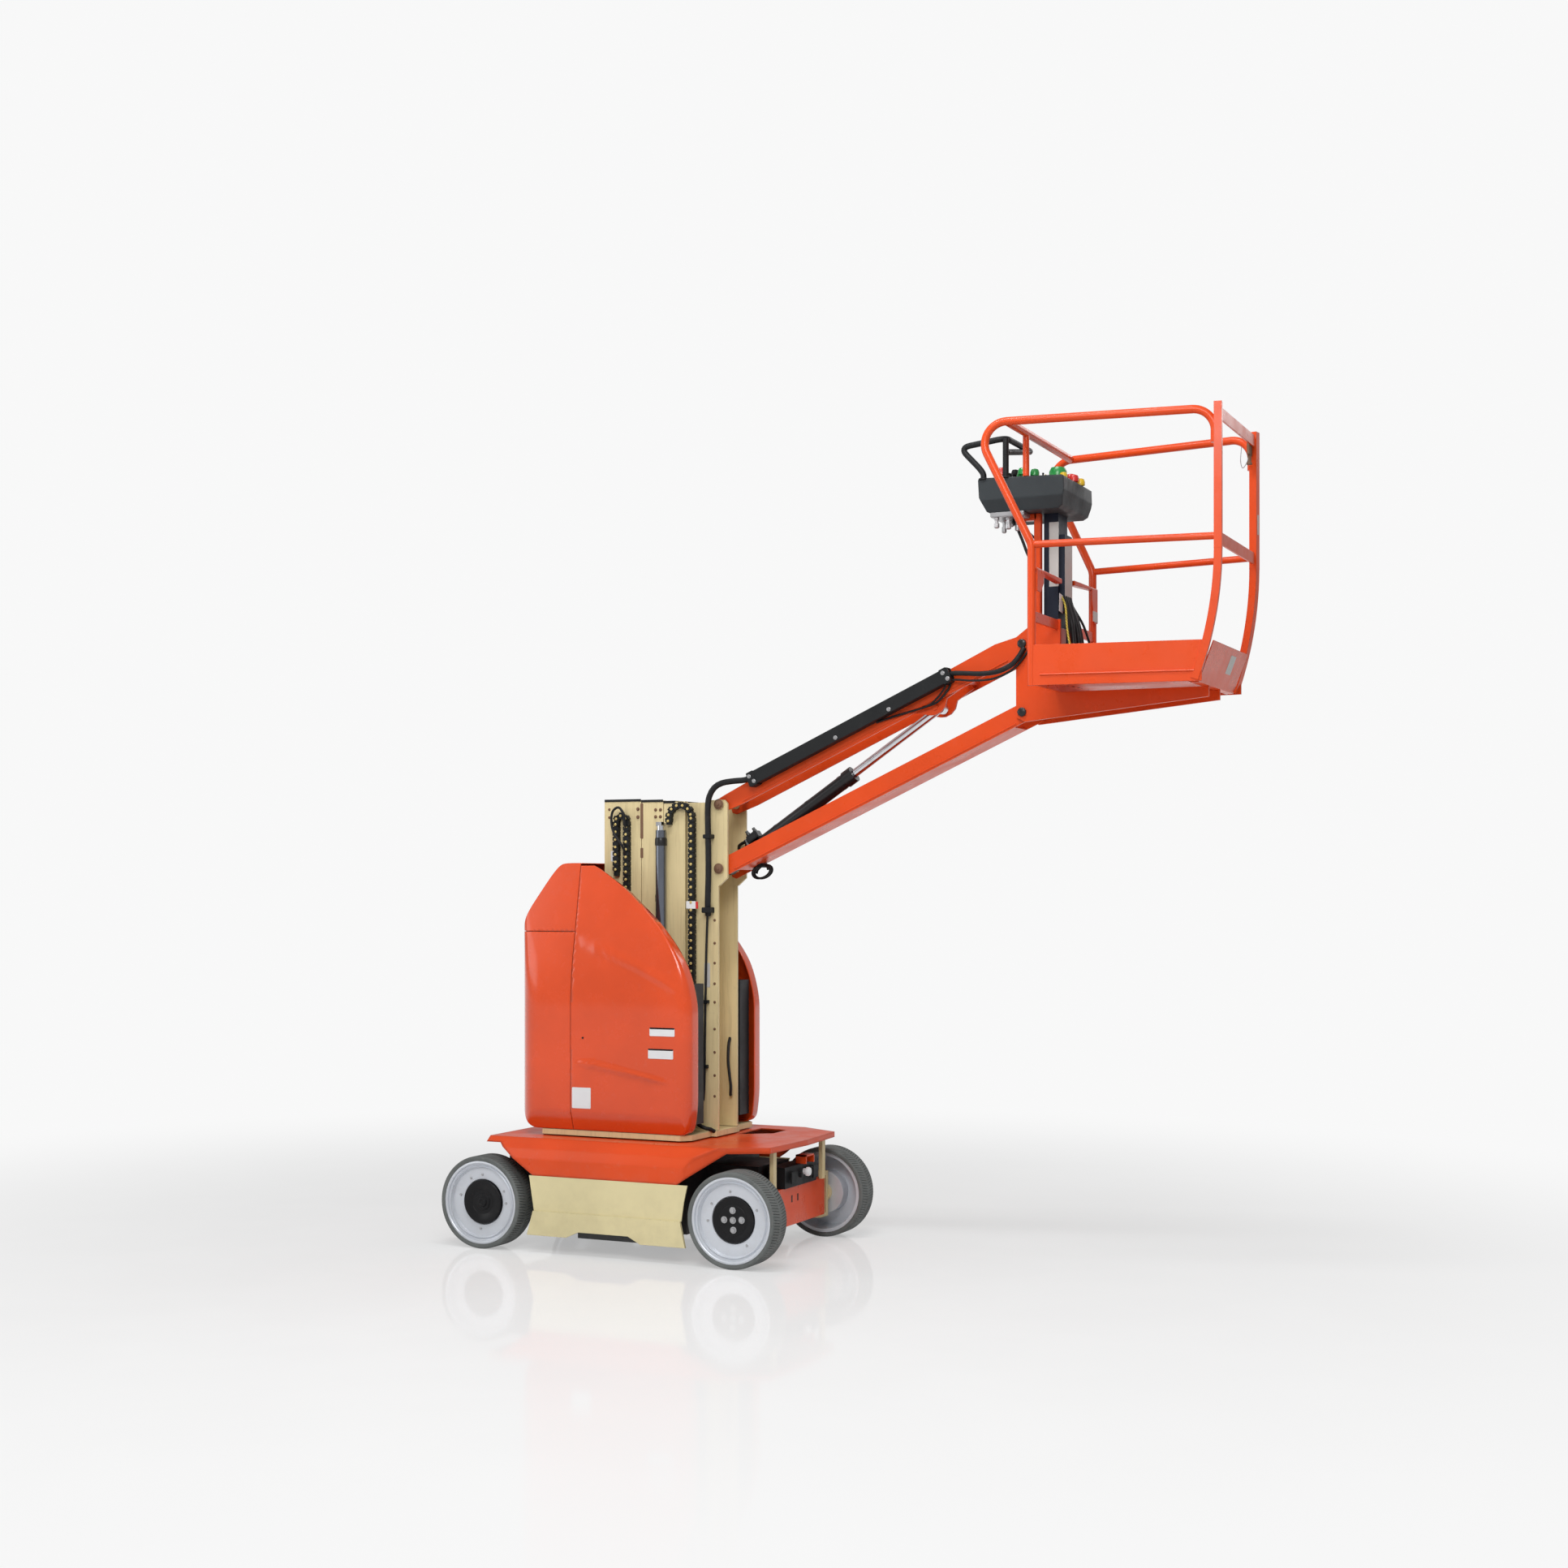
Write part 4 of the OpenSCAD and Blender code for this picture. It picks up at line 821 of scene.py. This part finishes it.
hose("carriage_hose", [(0.288, -0.104, 1.455), (0.284, -0.108, 1.3), (0.279, -0.106, 1.1),
    (0.276, -0.106, 0.9), (0.274, -0.106, 0.72), (0.266, -0.1, 0.64)], 0.01, "carriage")
hose("turret_hose", [(0.232, -0.106, 0.65), (0.236, -0.128, 0.592), (0.256, -0.142, 0.548),
    (0.288, -0.14, 0.528), (0.312, -0.124, 0.52), (0.322, -0.107, 0.51)], 0.017, "turret")
hose("channel_hose", [(0.3, 0.088, 0.9), (0.306, 0.062, 0.87), (0.309, 0.052, 0.8), (0.318, 0.05, 0.73),
    (0.322, 0.052, 0.69), (0.315, 0.062, 0.655), (0.304, 0.088, 0.65)], 0.013, "carriage")
clamps = Shape()
clamps.block((0.276, -0.14, 1.452), (0.318, -0.096, 1.476), 0.002)
clamps.block((0.282, -0.14, 1.772), (0.318, -0.096, 1.79), 0.002)
clamps.block((0.268, -0.114, 1.06), (0.294, -0.096, 1.075), 0.001)
clamps.block((0.266, -0.114, 0.78), (0.29, -0.096, 0.795), 0.001)
clamps.piece("hose_clamps", black_plastic, "carriage")
tag = Shape()
tag.block((0.2, -0.1358, 1.47), (0.246, -0.1343, 1.502), 0.0004, 1)
tag.piece("chain_tag", label_white, "mast_stage_2")
tag = Shape()
tag.block((0.246, -0.1362, 1.47), (0.258, -0.1343, 1.5), 0.0004, 1)
tag.piece("chain_tag_red", control_red, "mast_stage_2")

# Jib: guard screws, folded lower edges, hoses, cylinder fittings


def on_arm(along, above, y, upper=True):
    """A point along an arm from its mast pin, above its pin line."""
    z = JIB_Z + PIN_PITCH if upper else JIB_Z
    ahead, up = cos(JIB_ANGLE), sin(JIB_ANGLE)
    return (JIB_X + along * ahead - above * up, y, z + along * up + above * ahead)


guard = Shape()
for along, above in ((0.19, 0.04), (0.203, 0.012), (0.62, 0.012), (0.885, 0.012), (1.16, 0.04), (1.17, 0.01)):
    guard.bolt(on_arm(along, above, -0.1258), (0, -1, 0), 0.013)
guard.piece("guard_screws", zinc, "upper_arm")
bands = Shape()
for along in (0.18, 1.146):
    corners = [on_arm(along + a, b, -0.1268) for a, b in ((0, -0.006), (0.034, -0.006), (0.034, 0.058),
        (0, 0.058))]
    bands.prism(corners, (0, 0.0475, 0), 0.002)
bands.piece("guard_bands", black_plastic, "upper_arm")
for name, body, upper, reach, drop in (("lower_arm_edges", "lower_arm", False, (0.06, 1.46), -0.028),
        ("upper_arm_edges", "upper_arm", True, (0.1, 1.42), -0.031)):
    edge = Shape()
    for side in (-1, 1):
        start, end = (on_arm(a, drop, side * 0.0795, upper) for a in reach)
        edge.tube([start, end], EDGE_R, 10)
    edge.piece(name, orange_paint, body)
hose("jib_cable_1", [on_arm(1.176, 0.016, -0.088), on_arm(1.15, -0.018, -0.089), on_arm(1.085, -0.048, -0.09),
    on_arm(1.02, -0.043, -0.089), on_arm(0.9, -0.02, -0.088), on_arm(0.8, -0.004, -0.088)], 0.009,
    "upper_arm")
hose("jib_cable_2", [on_arm(1.168, 0.02, -0.101), on_arm(1.13, -0.016, -0.1), on_arm(1.075, -0.04, -0.098),
    on_arm(1.04, -0.044, -0.092), on_arm(1.01, -0.038, -0.084)], 0.008, "upper_arm")
hose("basket_hose", [(1.385, -0.103, 2.4255), (1.415, -0.104, 2.438), (1.47, -0.109, 2.436),
    (1.54, -0.114, 2.431), (1.61, -0.116, 2.436), (1.668, -0.116, 2.458), (1.7, -0.112, 2.49),
    (1.722, -0.101, 2.53)], 0.021, "upper_arm", to_body="basket")
hose("basket_cable", [(1.395, -0.098, 2.409), (1.43, -0.102, 2.412), (1.5, -0.108, 2.405),
    (1.59, -0.112, 2.408), (1.665, -0.112, 2.435), (1.708, -0.106, 2.474), (1.74, -0.1, 2.52)], 0.009,
    "upper_arm", to_body="basket")
TIP_X, _, TIP_Z = on_arm(JIB_LENGTH, 0, 0, False)
tips = Shape()
for dz in (0, PIN_PITCH):
    for side in (-1, 1):
        tips.revolve([(0, -0.002), (0.018, -0.002), (0.018, 0.004), (0.014, 0.0065), (0, 0.007)],
            (TIP_X, side * 0.1002, TIP_Z + dz), (0, side, 0), 36)
tips.piece("basket_pin_heads", black_paint, "basket")

LUG = on_arm(1.054, -0.057, 0)
CYLINDER = (Vector(LUG) - MAST_PIN).normalized()
fitting = Shape()
up = Vector((-CYLINDER.z, 0, CYLINDER.x))
base = MAST_PIN + CYLINDER * 0.135 + up * 0.029
fitting.revolve([(0, -0.004), (0.016, -0.004), (0.016, 0.012), (0.011, 0.014), (0.011, 0.03), (0, 0.03)],
    base, up, 6)
fitting.revolve([(0, -0.004), (0.012, -0.004), (0.012, 0.02), (0.008, 0.022), (0, 0.022)],
    base + CYLINDER * 0.04, up, 24)
for a in (0.28, 0.46, 0.64):
    ring = MAST_PIN + CYLINDER * a
    fitting.revolve([(0.0308, 0), (0.0322, 0.0005), (0.0322, 0.0125), (0.0308, 0.013)], ring, CYLINDER, 40)
fitting.piece("jib_cylinder_fittings", black_paint, "cylinder_barrel")
hose("jib_cylinder_hose", [(0.346, 0.083, 1.732), (0.358, 0.066, 1.745), (0.388, 0.054, 1.758),
    (0.434, 0.051, 1.763), (0.466, 0.047, 1.75), (0.48, 0.041, 1.741)], 0.014, "carriage",
    to_body="lower_arm")
coil = []
for i in range(46):
    a = tau * i / 18
    coil.append((0.475 + 0.04 * cos(a), 0.026 + 0.0012 * i, 1.63 + 0.028 * sin(a) + 0.008 * cos(a)))
hose("spare_hose_coil", coil, 0.01, "lower_arm")
tie = Shape()
tie.block((0.466, 0.018, 1.648), (0.484, 0.086, 1.672), 0.002)
tie.piece("coil_tie", black_plastic, "lower_arm")

# Basket: post, brackets, blank plates, connectors, cables, lanyards, controls
FLOOR = 2.3753
post = Shape()
post.block((1.758, -0.088, FLOOR - 0.004), (1.786, -0.06, 3.0705), 0.003)
post.block((1.69, -0.088, 3.044), (1.77, -0.06, 3.0705), 0.003)
post.piece("console_post", orange_paint, "basket")
arms = Shape()
BRACKET_REACH = 0.405
BRACKET_INNER = 0.085
for side, top, drop_to in ((-1, 2.8, 2.712), (1, 2.815, 2.672)):
    inner, outer = side * BRACKET_INNER, side * BRACKET_REACH
    arms.prism([(1.846, inner, top - 0.02), (1.846, outer, top - 0.004), (1.846, outer, top + 0.004),
        (1.846, inner, top)], (0.03, 0, 0), 0.002)
    flange = ((0.085, top), (0.004, top), (0.004, drop_to), (0.05, drop_to), (0.085, top - 0.05))
    arms.prism([(1.872, outer - side * in_from_end, z) for in_from_end, z in flange], (0.005, 0, 0), 0.0015)
arms.piece("rear_brackets", orange_paint, "basket")
plates = Shape()
plates.block((1.8772, 0.33, 2.676), (1.8782, 0.398, 2.72), 0.0004, 1)
plates.block((1.874, -0.043, FLOOR + 0.35), (1.8748, 0.053, FLOOR + 0.59), 0.0004, 1)
plates.block((1.812, -0.0562, FLOOR + 0.4), (1.852, -0.0552, FLOOR + 0.66), 0.0004, 1)
plates.piece("column_plates", label_pale, "basket")
tags = Shape()
tags.prism([(1.868, -0.096, 2.742), (1.868, -0.052, 2.736), (1.868, -0.056, 2.664), (1.868, -0.1, 2.67)],
    (0.0012, 0, 0))
tags.piece("column_tag", label_white, "basket")
for i, (y0, y1, d, bulge) in enumerate(((-0.046, -0.066, 0.017, 0.014), (-0.026, -0.034, 0.021, 0.03),
        (-0.002, -0.004, 0.019, 0.02), (0.02, 0.026, 0.022, 0.036), (0.04, 0.06, 0.017, 0.04),
        (0.054, 0.104, 0.01, 0.064))):
    hose(f"column_cable_{i}", [(1.868, y0, FLOOR + 0.36), (1.876, y0, FLOOR + 0.33),
        (1.882 + bulge * 0.6, y0 * 0.6 + y1 * 0.4, FLOOR + 0.24), (1.88 + bulge, y1, FLOOR + 0.12),
        (1.88 + bulge * 0.8, y1, FLOOR + 0.04), (1.88 + bulge * 0.7, y1, FLOOR - 0.004)], d, "basket")
hose("yellow_lanyard", [(1.862, -0.06, 2.74), (1.886, -0.074, 2.69), (1.896, -0.082, 2.6),
    (1.912, -0.084, 2.52), (1.94, -0.08, 2.44), (1.965, -0.074, 2.371)], 0.008, "basket", yellow_rope)
hose("console_cable", [(1.668, -0.1, 3.062), (1.69, -0.104, 3.02), (1.716, -0.104, 2.96),
    (1.738, -0.096, 2.9), (1.768, -0.07, 2.85), (1.792, -0.04, 2.83)], 0.012, "basket")
hose("console_cable_2", [(1.7, -0.04, 3.064), (1.712, -0.046, 3.02), (1.74, -0.048, 2.985),
    (1.775, -0.035, 2.962), (1.794, -0.02, 2.95)], 0.01, "basket")
connectors = Shape()
connectors.block((1.6, -0.17, 3.052), (1.742, -0.01, 3.0715), 0.003)
for x, y, size, drop in ((1.622, -0.15, 0.022, 0.04), (1.64, -0.11, 0.018, 0.055),
        (1.668, -0.14, 0.024, 0.046), (1.668, -0.1, 0.02, 0.03), (1.7, -0.12, 0.02, 0.052),
        (1.7, -0.04, 0.018, 0.026), (1.725, -0.15, 0.018, 0.034)):
    r = size / 2
    connectors.revolve([(0, 0), (r, 0), (r, 0.01), (r * 0.7, 0.012), (r * 0.7, drop * 0.6),
        (r * 1.05, drop * 0.62), (r * 1.05, drop), (r * 0.6, drop + 0.004), (0, drop + 0.004)], (x, y, 3.054),
        (0, 0, -1), 8 if size > 0.02 else 24)
connectors.piece("console_connectors", zinc, "basket")

CONSOLE_X = 1.7362
CONSOLE_TOP = 3.1983


def panel_z(dx):
    return CONSOLE_TOP - 0.01 - dx * 12 / 316


def control(shape, dx, y, profile, segments=28):
    shape.revolve(profile, (CONSOLE_X + dx, y, panel_z(dx)), (0.038, 0, 1), segments)


def mushroom(r, h):
    return [(r * 0.9, -0.002), (r * 0.9, 0.004), (r * 0.55, 0.005), (r * 0.55, h * 0.5), (r, h * 0.55),
        (r * 1.02, h * 0.8), (r * 0.8, h), (r * 0.3, h * 1.06), (0, h * 1.07)]


def toggle(r, h):
    return [(r, -0.002), (r, 0.004), (r * 0.5, 0.006), (r * 0.32, 0.008), (r * 0.26, h * 0.8),
        (r * 0.34, h * 0.95), (0, h)]


GUARD_Y = -0.178
GUARD = [(-0.16, GUARD_Y, 0.006), (-0.16, GUARD_Y, 0.036), (-0.262, GUARD_Y, 0.144), (-0.066, GUARD_Y, 0.167),
    (-0.078, 0.182, 0.178), (-0.066, GUARD_Y + 0.012, 0.112)]


def rounded_path(points, cut, steps=8):
    """An open path with its inner corners turned into curves."""
    points = [Vector(p) for p in points]
    path = [points[0]]
    for a, b, c in zip(points, points[1:], points[2:]):
        start = b + (a - b) * min(0.45, cut / (a - b).length)
        end = b + (c - b) * min(0.45, cut / (c - b).length)
        path += [(1 - t) ** 2 * start + 2 * t * (1 - t) * b + t * t * end
            for t in (k / steps for k in range(steps + 1))]
    path.append(points[-1])
    return path


guard_tube = Shape()
guard_tube.tube(rounded_path([(CONSOLE_X + x, y, CONSOLE_TOP + z) for x, y, z in GUARD], 0.045), 0.0122, 20)
guard_tube.tube([(CONSOLE_X - 0.066, GUARD_Y, CONSOLE_TOP + 0.004),
    (CONSOLE_X - 0.066, GUARD_Y, CONSOLE_TOP + 0.1), (CONSOLE_X - 0.066, GUARD_Y, CONSOLE_TOP + 0.164)],
    0.0124, 20)
for x in (-0.16, -0.066):
    guard_tube.revolve([(0, -0.001), (0.021, -0.001), (0.021, 0.004), (0.014, 0.008), (0, 0.008)],
        (CONSOLE_X + x, GUARD_Y, CONSOLE_TOP + 0.0065), (0, 0, 1), 24)
guard_tube.piece("console_guard_tube", black_plastic, "basket", 50, ("console_guard",))


groups = {
    "red": (control_red, [(-0.1, -0.13, mushroom(0.022, 0.062)), (0.11, 0.12, mushroom(0.026, 0.07)),
    (0.142, 0.06, mushroom(0.02, 0.056)), (0.06, 0.165, toggle(0.012, 0.03))]),
    "green": (control_green, [(-0.01, -0.13, mushroom(0.022, 0.058)), (0.08, 0.04, mushroom(0.036, 0.086)),
    (-0.036, -0.085, mushroom(0.016, 0.05)), (0.03, -0.105, mushroom(0.018, 0.056)),
                              (0.02, 0.08, mushroom(0.014, 0.026)), (-0.07, 0.12, mushroom(0.026, 0.036))]),
    "yellow": (control_yellow, [(0.15, -0.11, toggle(0.012, 0.026)), (0.12, -0.01, mushroom(0.016, 0.056)),
    (0.142, 0.15, mushroom(0.018, 0.056)), (0.15, 0.105, toggle(0.011, 0.052)),
                                (0.05, -0.03, toggle(0.01, 0.05))]),
    "black": (black_plastic, [(0.07, -0.12, toggle(0.013, 0.04)), (0.02, 0.12, toggle(0.012, 0.026)),
    (-0.06, 0.06, toggle(0.012, 0.026)), (0.12, -0.06, toggle(0.012, 0.04)),
                              (-0.07, -0.13, mushroom(0.014, 0.04)),
                              (-0.09, 0.0, [(0.03, -0.002), (0.03, 0.003), (0.027, 0.008), (0.028, 0.012),
                              (0.021, 0.016), (0.022, 0.02), (0.014, 0.025), (0.015, 0.028),
                                               (0.007, 0.032), (0.007, 0.05), (0.014, 0.056), (0.016, 0.068),
                                               (0.012, 0.078), (0, 0.081)])]),
}
for name, (material, rows) in groups.items():
    knobs = Shape()
    for dx, y, profile in rows:
        control(knobs, dx, y, profile)
    knobs.piece("controls_" + name, material, "basket", 35,
        ("console_controls",) if name == "red" else ())
covers = Shape()
for dx, y, w in ((-0.02, -0.06, 0.03), (0.04, -0.015, 0.036), (0.09, -0.06, 0.02)):
    x, z = CONSOLE_X + dx, panel_z(dx)
    covers.block((x - w / 2, y - w / 2, z - 0.002), (x + w / 2, y + w / 2, z + 0.003), 0.001)
covers.piece("control_plates", label_pale, "basket")

# Front of the chassis: knob, sockets, bracket, and thin dark patches painted as the shade in slots
FRONT_X = 0.6788
knob = Shape()
knob.revolve([(0.013, -0.002), (0.013, 0.01), (0.019, 0.012), (0.0195, 0.022), (0.016, 0.028), (0, 0.03)],
    (FRONT_X, 0.045, 0.34), (1, 0, 0), 28)
knob.piece("front_knob", label_white, "chassis")
sockets = Shape()
sockets.revolve([(0.02, -0.002), (0.02, 0.008), (0.016, 0.01), (0.015, 0.004), (0, 0.004)],
    (FRONT_X, 0.105, 0.335), (1, 0, 0), 28)
sockets.revolve([(0.011, -0.002), (0.011, 0.012), (0.008, 0.014), (0, 0.014)], (FRONT_X, 0.0, 0.33),
    (1, 0, 0), 20)
sockets.block((FRONT_X - 0.002, 0.128, 0.3), (FRONT_X + 0.006, 0.18, 0.356), 0.002)
sockets.block((FRONT_X - 0.002, -0.09, 0.3), (FRONT_X + 0.004, -0.03, 0.35), 0.002)
sockets.piece("front_sockets", black_plastic, "chassis")
hook = Shape()
hook.block((0.64, 0.04, 0.3715), (0.69, 0.048, 0.41), 0.001)
hook.block((0.64, 0.12, 0.3715), (0.69, 0.128, 0.41), 0.001)
hook.block((0.64, 0.04, 0.402), (0.69, 0.128, 0.41), 0.001)
hook.piece("front_bracket", orange_paint, "chassis")
# Thin dark patches on the front beam: painted shade standing in for two slots.
slot_shade_marks = Shape()
for y in (-0.03, 0.03):
    slot_shade_marks.prism([(0.6548, y - 0.006, 0.215), (0.6548, y + 0.006, 0.215), (0.6548, y + 0.006, 0.245),
        (0.6548, y - 0.006, 0.245)], (0.0008, 0, 0))
slot_shade_marks.piece("painted_slot_shade", painted_shade_and_stud_dark, "chassis")


def sticker(name, node, across, heights):
    """A thin blank label on a node's front face, where lines along -X meet it."""
    outline = [(y, heights[0]) for y in across] + [(y, heights[1]) for y in reversed(across)]
    corners = [nodes[node].ray_cast((4, y, z), (-1, 0, 0))[1] - Vector((0.0004, 0, 0)) for y, z in outline]
    shape = Shape()
    shape.prism(corners, (0.0014, 0, 0))
    shape.piece(name, label_pale, "basket")


sticker("post_label", "basket_side_far", (0.297, 0.303, 0.309), (2.985, 3.065))
sticker("toe_label", "basket_floor", (0.045, 0.125), (2.405, 2.475))

# Folded upper edge of the toe boards' foot, and the valve on the jib cylinder
TAPER = radians(7.98)
FOLD_Z = 2.386
FOLD_ENDS = (0.035, 0.625)
folds = Shape()
for side in (-1, 1):
    start, end = ((1.8562 + reach * cos(TAPER), side * (0.4185 - reach * sin(TAPER)), FOLD_Z)
        for reach in FOLD_ENDS)
    folds.tube([start, end], EDGE_R, 10)
folds.piece("toe_board_folds", orange_paint, "basket")
valve = Shape()
near_base = MAST_PIN + CYLINDER * 0.175
for low, high in (((-0.026, -0.024), (0.03, 0.026)), ((-0.01, -0.034), (0.022, 0.034))):
    corners = [near_base + up * 0.029 + CYLINDER * a + Vector((0, b, 0)) for a,
        b in ((low[0], low[1]), (high[0], low[1]), (high[0], high[1]), (low[0], high[1]))]
    valve.prism(corners, up * (0.034 if low[1] > -0.03 else 0.02), 0.003)
for a, b in ((-0.012, -0.01), (0.014, 0.012)):
    valve.revolve([(0, 0), (0.0095, 0), (0.0095, 0.012), (0.007, 0.014), (0.007, 0.024), (0, 0.024)],
        near_base + up * 0.061 + CYLINDER * a + Vector((0, b, 0)), up, 6)
valve.piece("jib_valve", black_paint, "cylinder_barrel")

# Gate latch and its lanyard
latch = Shape()
latch.block((2.545, 0.234, 3.3), (2.5562, 0.284, 3.352), 0.002)
latch.revolve([(0, 0), (0.008, 0), (0.008, 0.03), (0.011, 0.032), (0.011, 0.04), (0, 0.04)],
    (2.5505, 0.256, 3.302), (0, 0, -1), 20)
latch.piece("gate_latch", rusty_steel, "basket")
hose("latch_lanyard", [(2.548, 0.252, 3.292), (2.54, 0.232, 3.256), (2.536, 0.196, 3.24),
    (2.538, 0.158, 3.262), (2.546, 0.14, 3.312)], 0.003, "basket", zinc)


# Studio
def area_light(name, at, target, size, power):
    data = bpy.data.lights.new(name, "AREA")
    data.shape = "RECTANGLE"
    data.size, data.size_y = size
    data.energy = power
    light = bpy.data.objects.new(name, data)
    light.location = at
    light.rotation_euler = (Vector(target) - Vector(at)).to_track_quat("-Z", "Y").to_euler()
    bpy.context.scene.collection.objects.link(light)


area_light("key", (3.0, -6.5, 5.5), (0.6, 0, 1.2), (3.2, 2.2), 235)
area_light("fill", (-5.5, -4.5, 3.5), (0.3, 0, 1.2), (4, 4), 95)
area_light("top", (1.0, -2.2, 6.2), (0.1, -0.3, 1.3), (2.8, 0.45), 130)
area_light("back", (3.5, 6.0, 6.0), (0.8, 0, 1.5), (4, 3), 80)


def studio_world():
    """Light for the surfaces, white for the camera, and a share of that white in reflections."""
    world = bpy.data.worlds.new("studio")
    n = Nodes(world)
    background = n.tree.nodes["Background"]
    white = n.add("ShaderNodeBackground")
    for node, strength in ((background, 0.36), (white, 0.94)):
        node.inputs["Color"].default_value = (1, 1, 1, 1)
        node.inputs["Strength"].default_value = strength
    path = n.add("ShaderNodeLightPath").outputs
    mirrored = n.math("MULTIPLY", path["Is Glossy Ray"], 0.25)
    seen = n.math("MAXIMUM", n.math("MAXIMUM", path["Is Camera Ray"], mirrored), path["Is Transmission Ray"])
    mixer = n.add("ShaderNodeMixShader")
    n.link(seen, mixer.inputs["Fac"])
    n.link(background.outputs[0], mixer.inputs[1])
    n.link(white.outputs[0], mixer.inputs[2])
    n.link(mixer.outputs[0], n.tree.nodes["World Output"].inputs["Surface"])
    bpy.context.scene.world = world


def floor_material():
    material = bpy.data.materials.new("floor")
    n = Nodes(material)
    n.link(n.mix(n.ramp(n.noise(1.5, 4), 0.3, 0.7), (0.86, 0.86, 0.86), (0.89, 0.89, 0.89)),
        n.shader.inputs["Base Color"])
    n.link(n.ramp(n.noise(3, 4), 0.3, 0.7, 0.05, 0.09), n.shader.inputs["Roughness"])
    n.shader.inputs["Specular IOR Level"].default_value = 0.14
    glow = n.add("ShaderNodeEmission")
    glow.inputs["Strength"].default_value = 0.94
    distance = n.add("ShaderNodeVectorMath", operation="LENGTH")
    n.link(n.coords, distance.inputs[0])
    far = n.ramp(distance.outputs["Value"], 0.9, 6.0, 0.42, 1.0)
    sight = n.add("ShaderNodeLightPath")
    seen = n.math("MAXIMUM", sight.outputs["Is Camera Ray"], sight.outputs["Is Glossy Ray"])
    blend = n.add("ShaderNodeMixShader")
    n.link(n.math("MULTIPLY", far, seen), blend.inputs["Fac"])
    n.link(n.shader.outputs[0], blend.inputs[1])
    n.link(glow.outputs[0], blend.inputs[2])
    n.link(blend.outputs[0], n.tree.nodes["Material Output"].inputs["Surface"])
    return material


studio_world()
FLOOR_REACH = 40
floor_mesh = bpy.data.meshes.new("floor")
floor_mesh.from_pydata([(x * FLOOR_REACH, y * FLOOR_REACH, 0) for x,
    y in ((-1, -1), (1, -1), (1, 1), (-1, 1))], [], [(0, 1, 2, 3)])
floor = bpy.data.objects.new("floor", floor_mesh)
floor.data.materials.append(floor_material())
bpy.context.scene.collection.objects.link(floor)
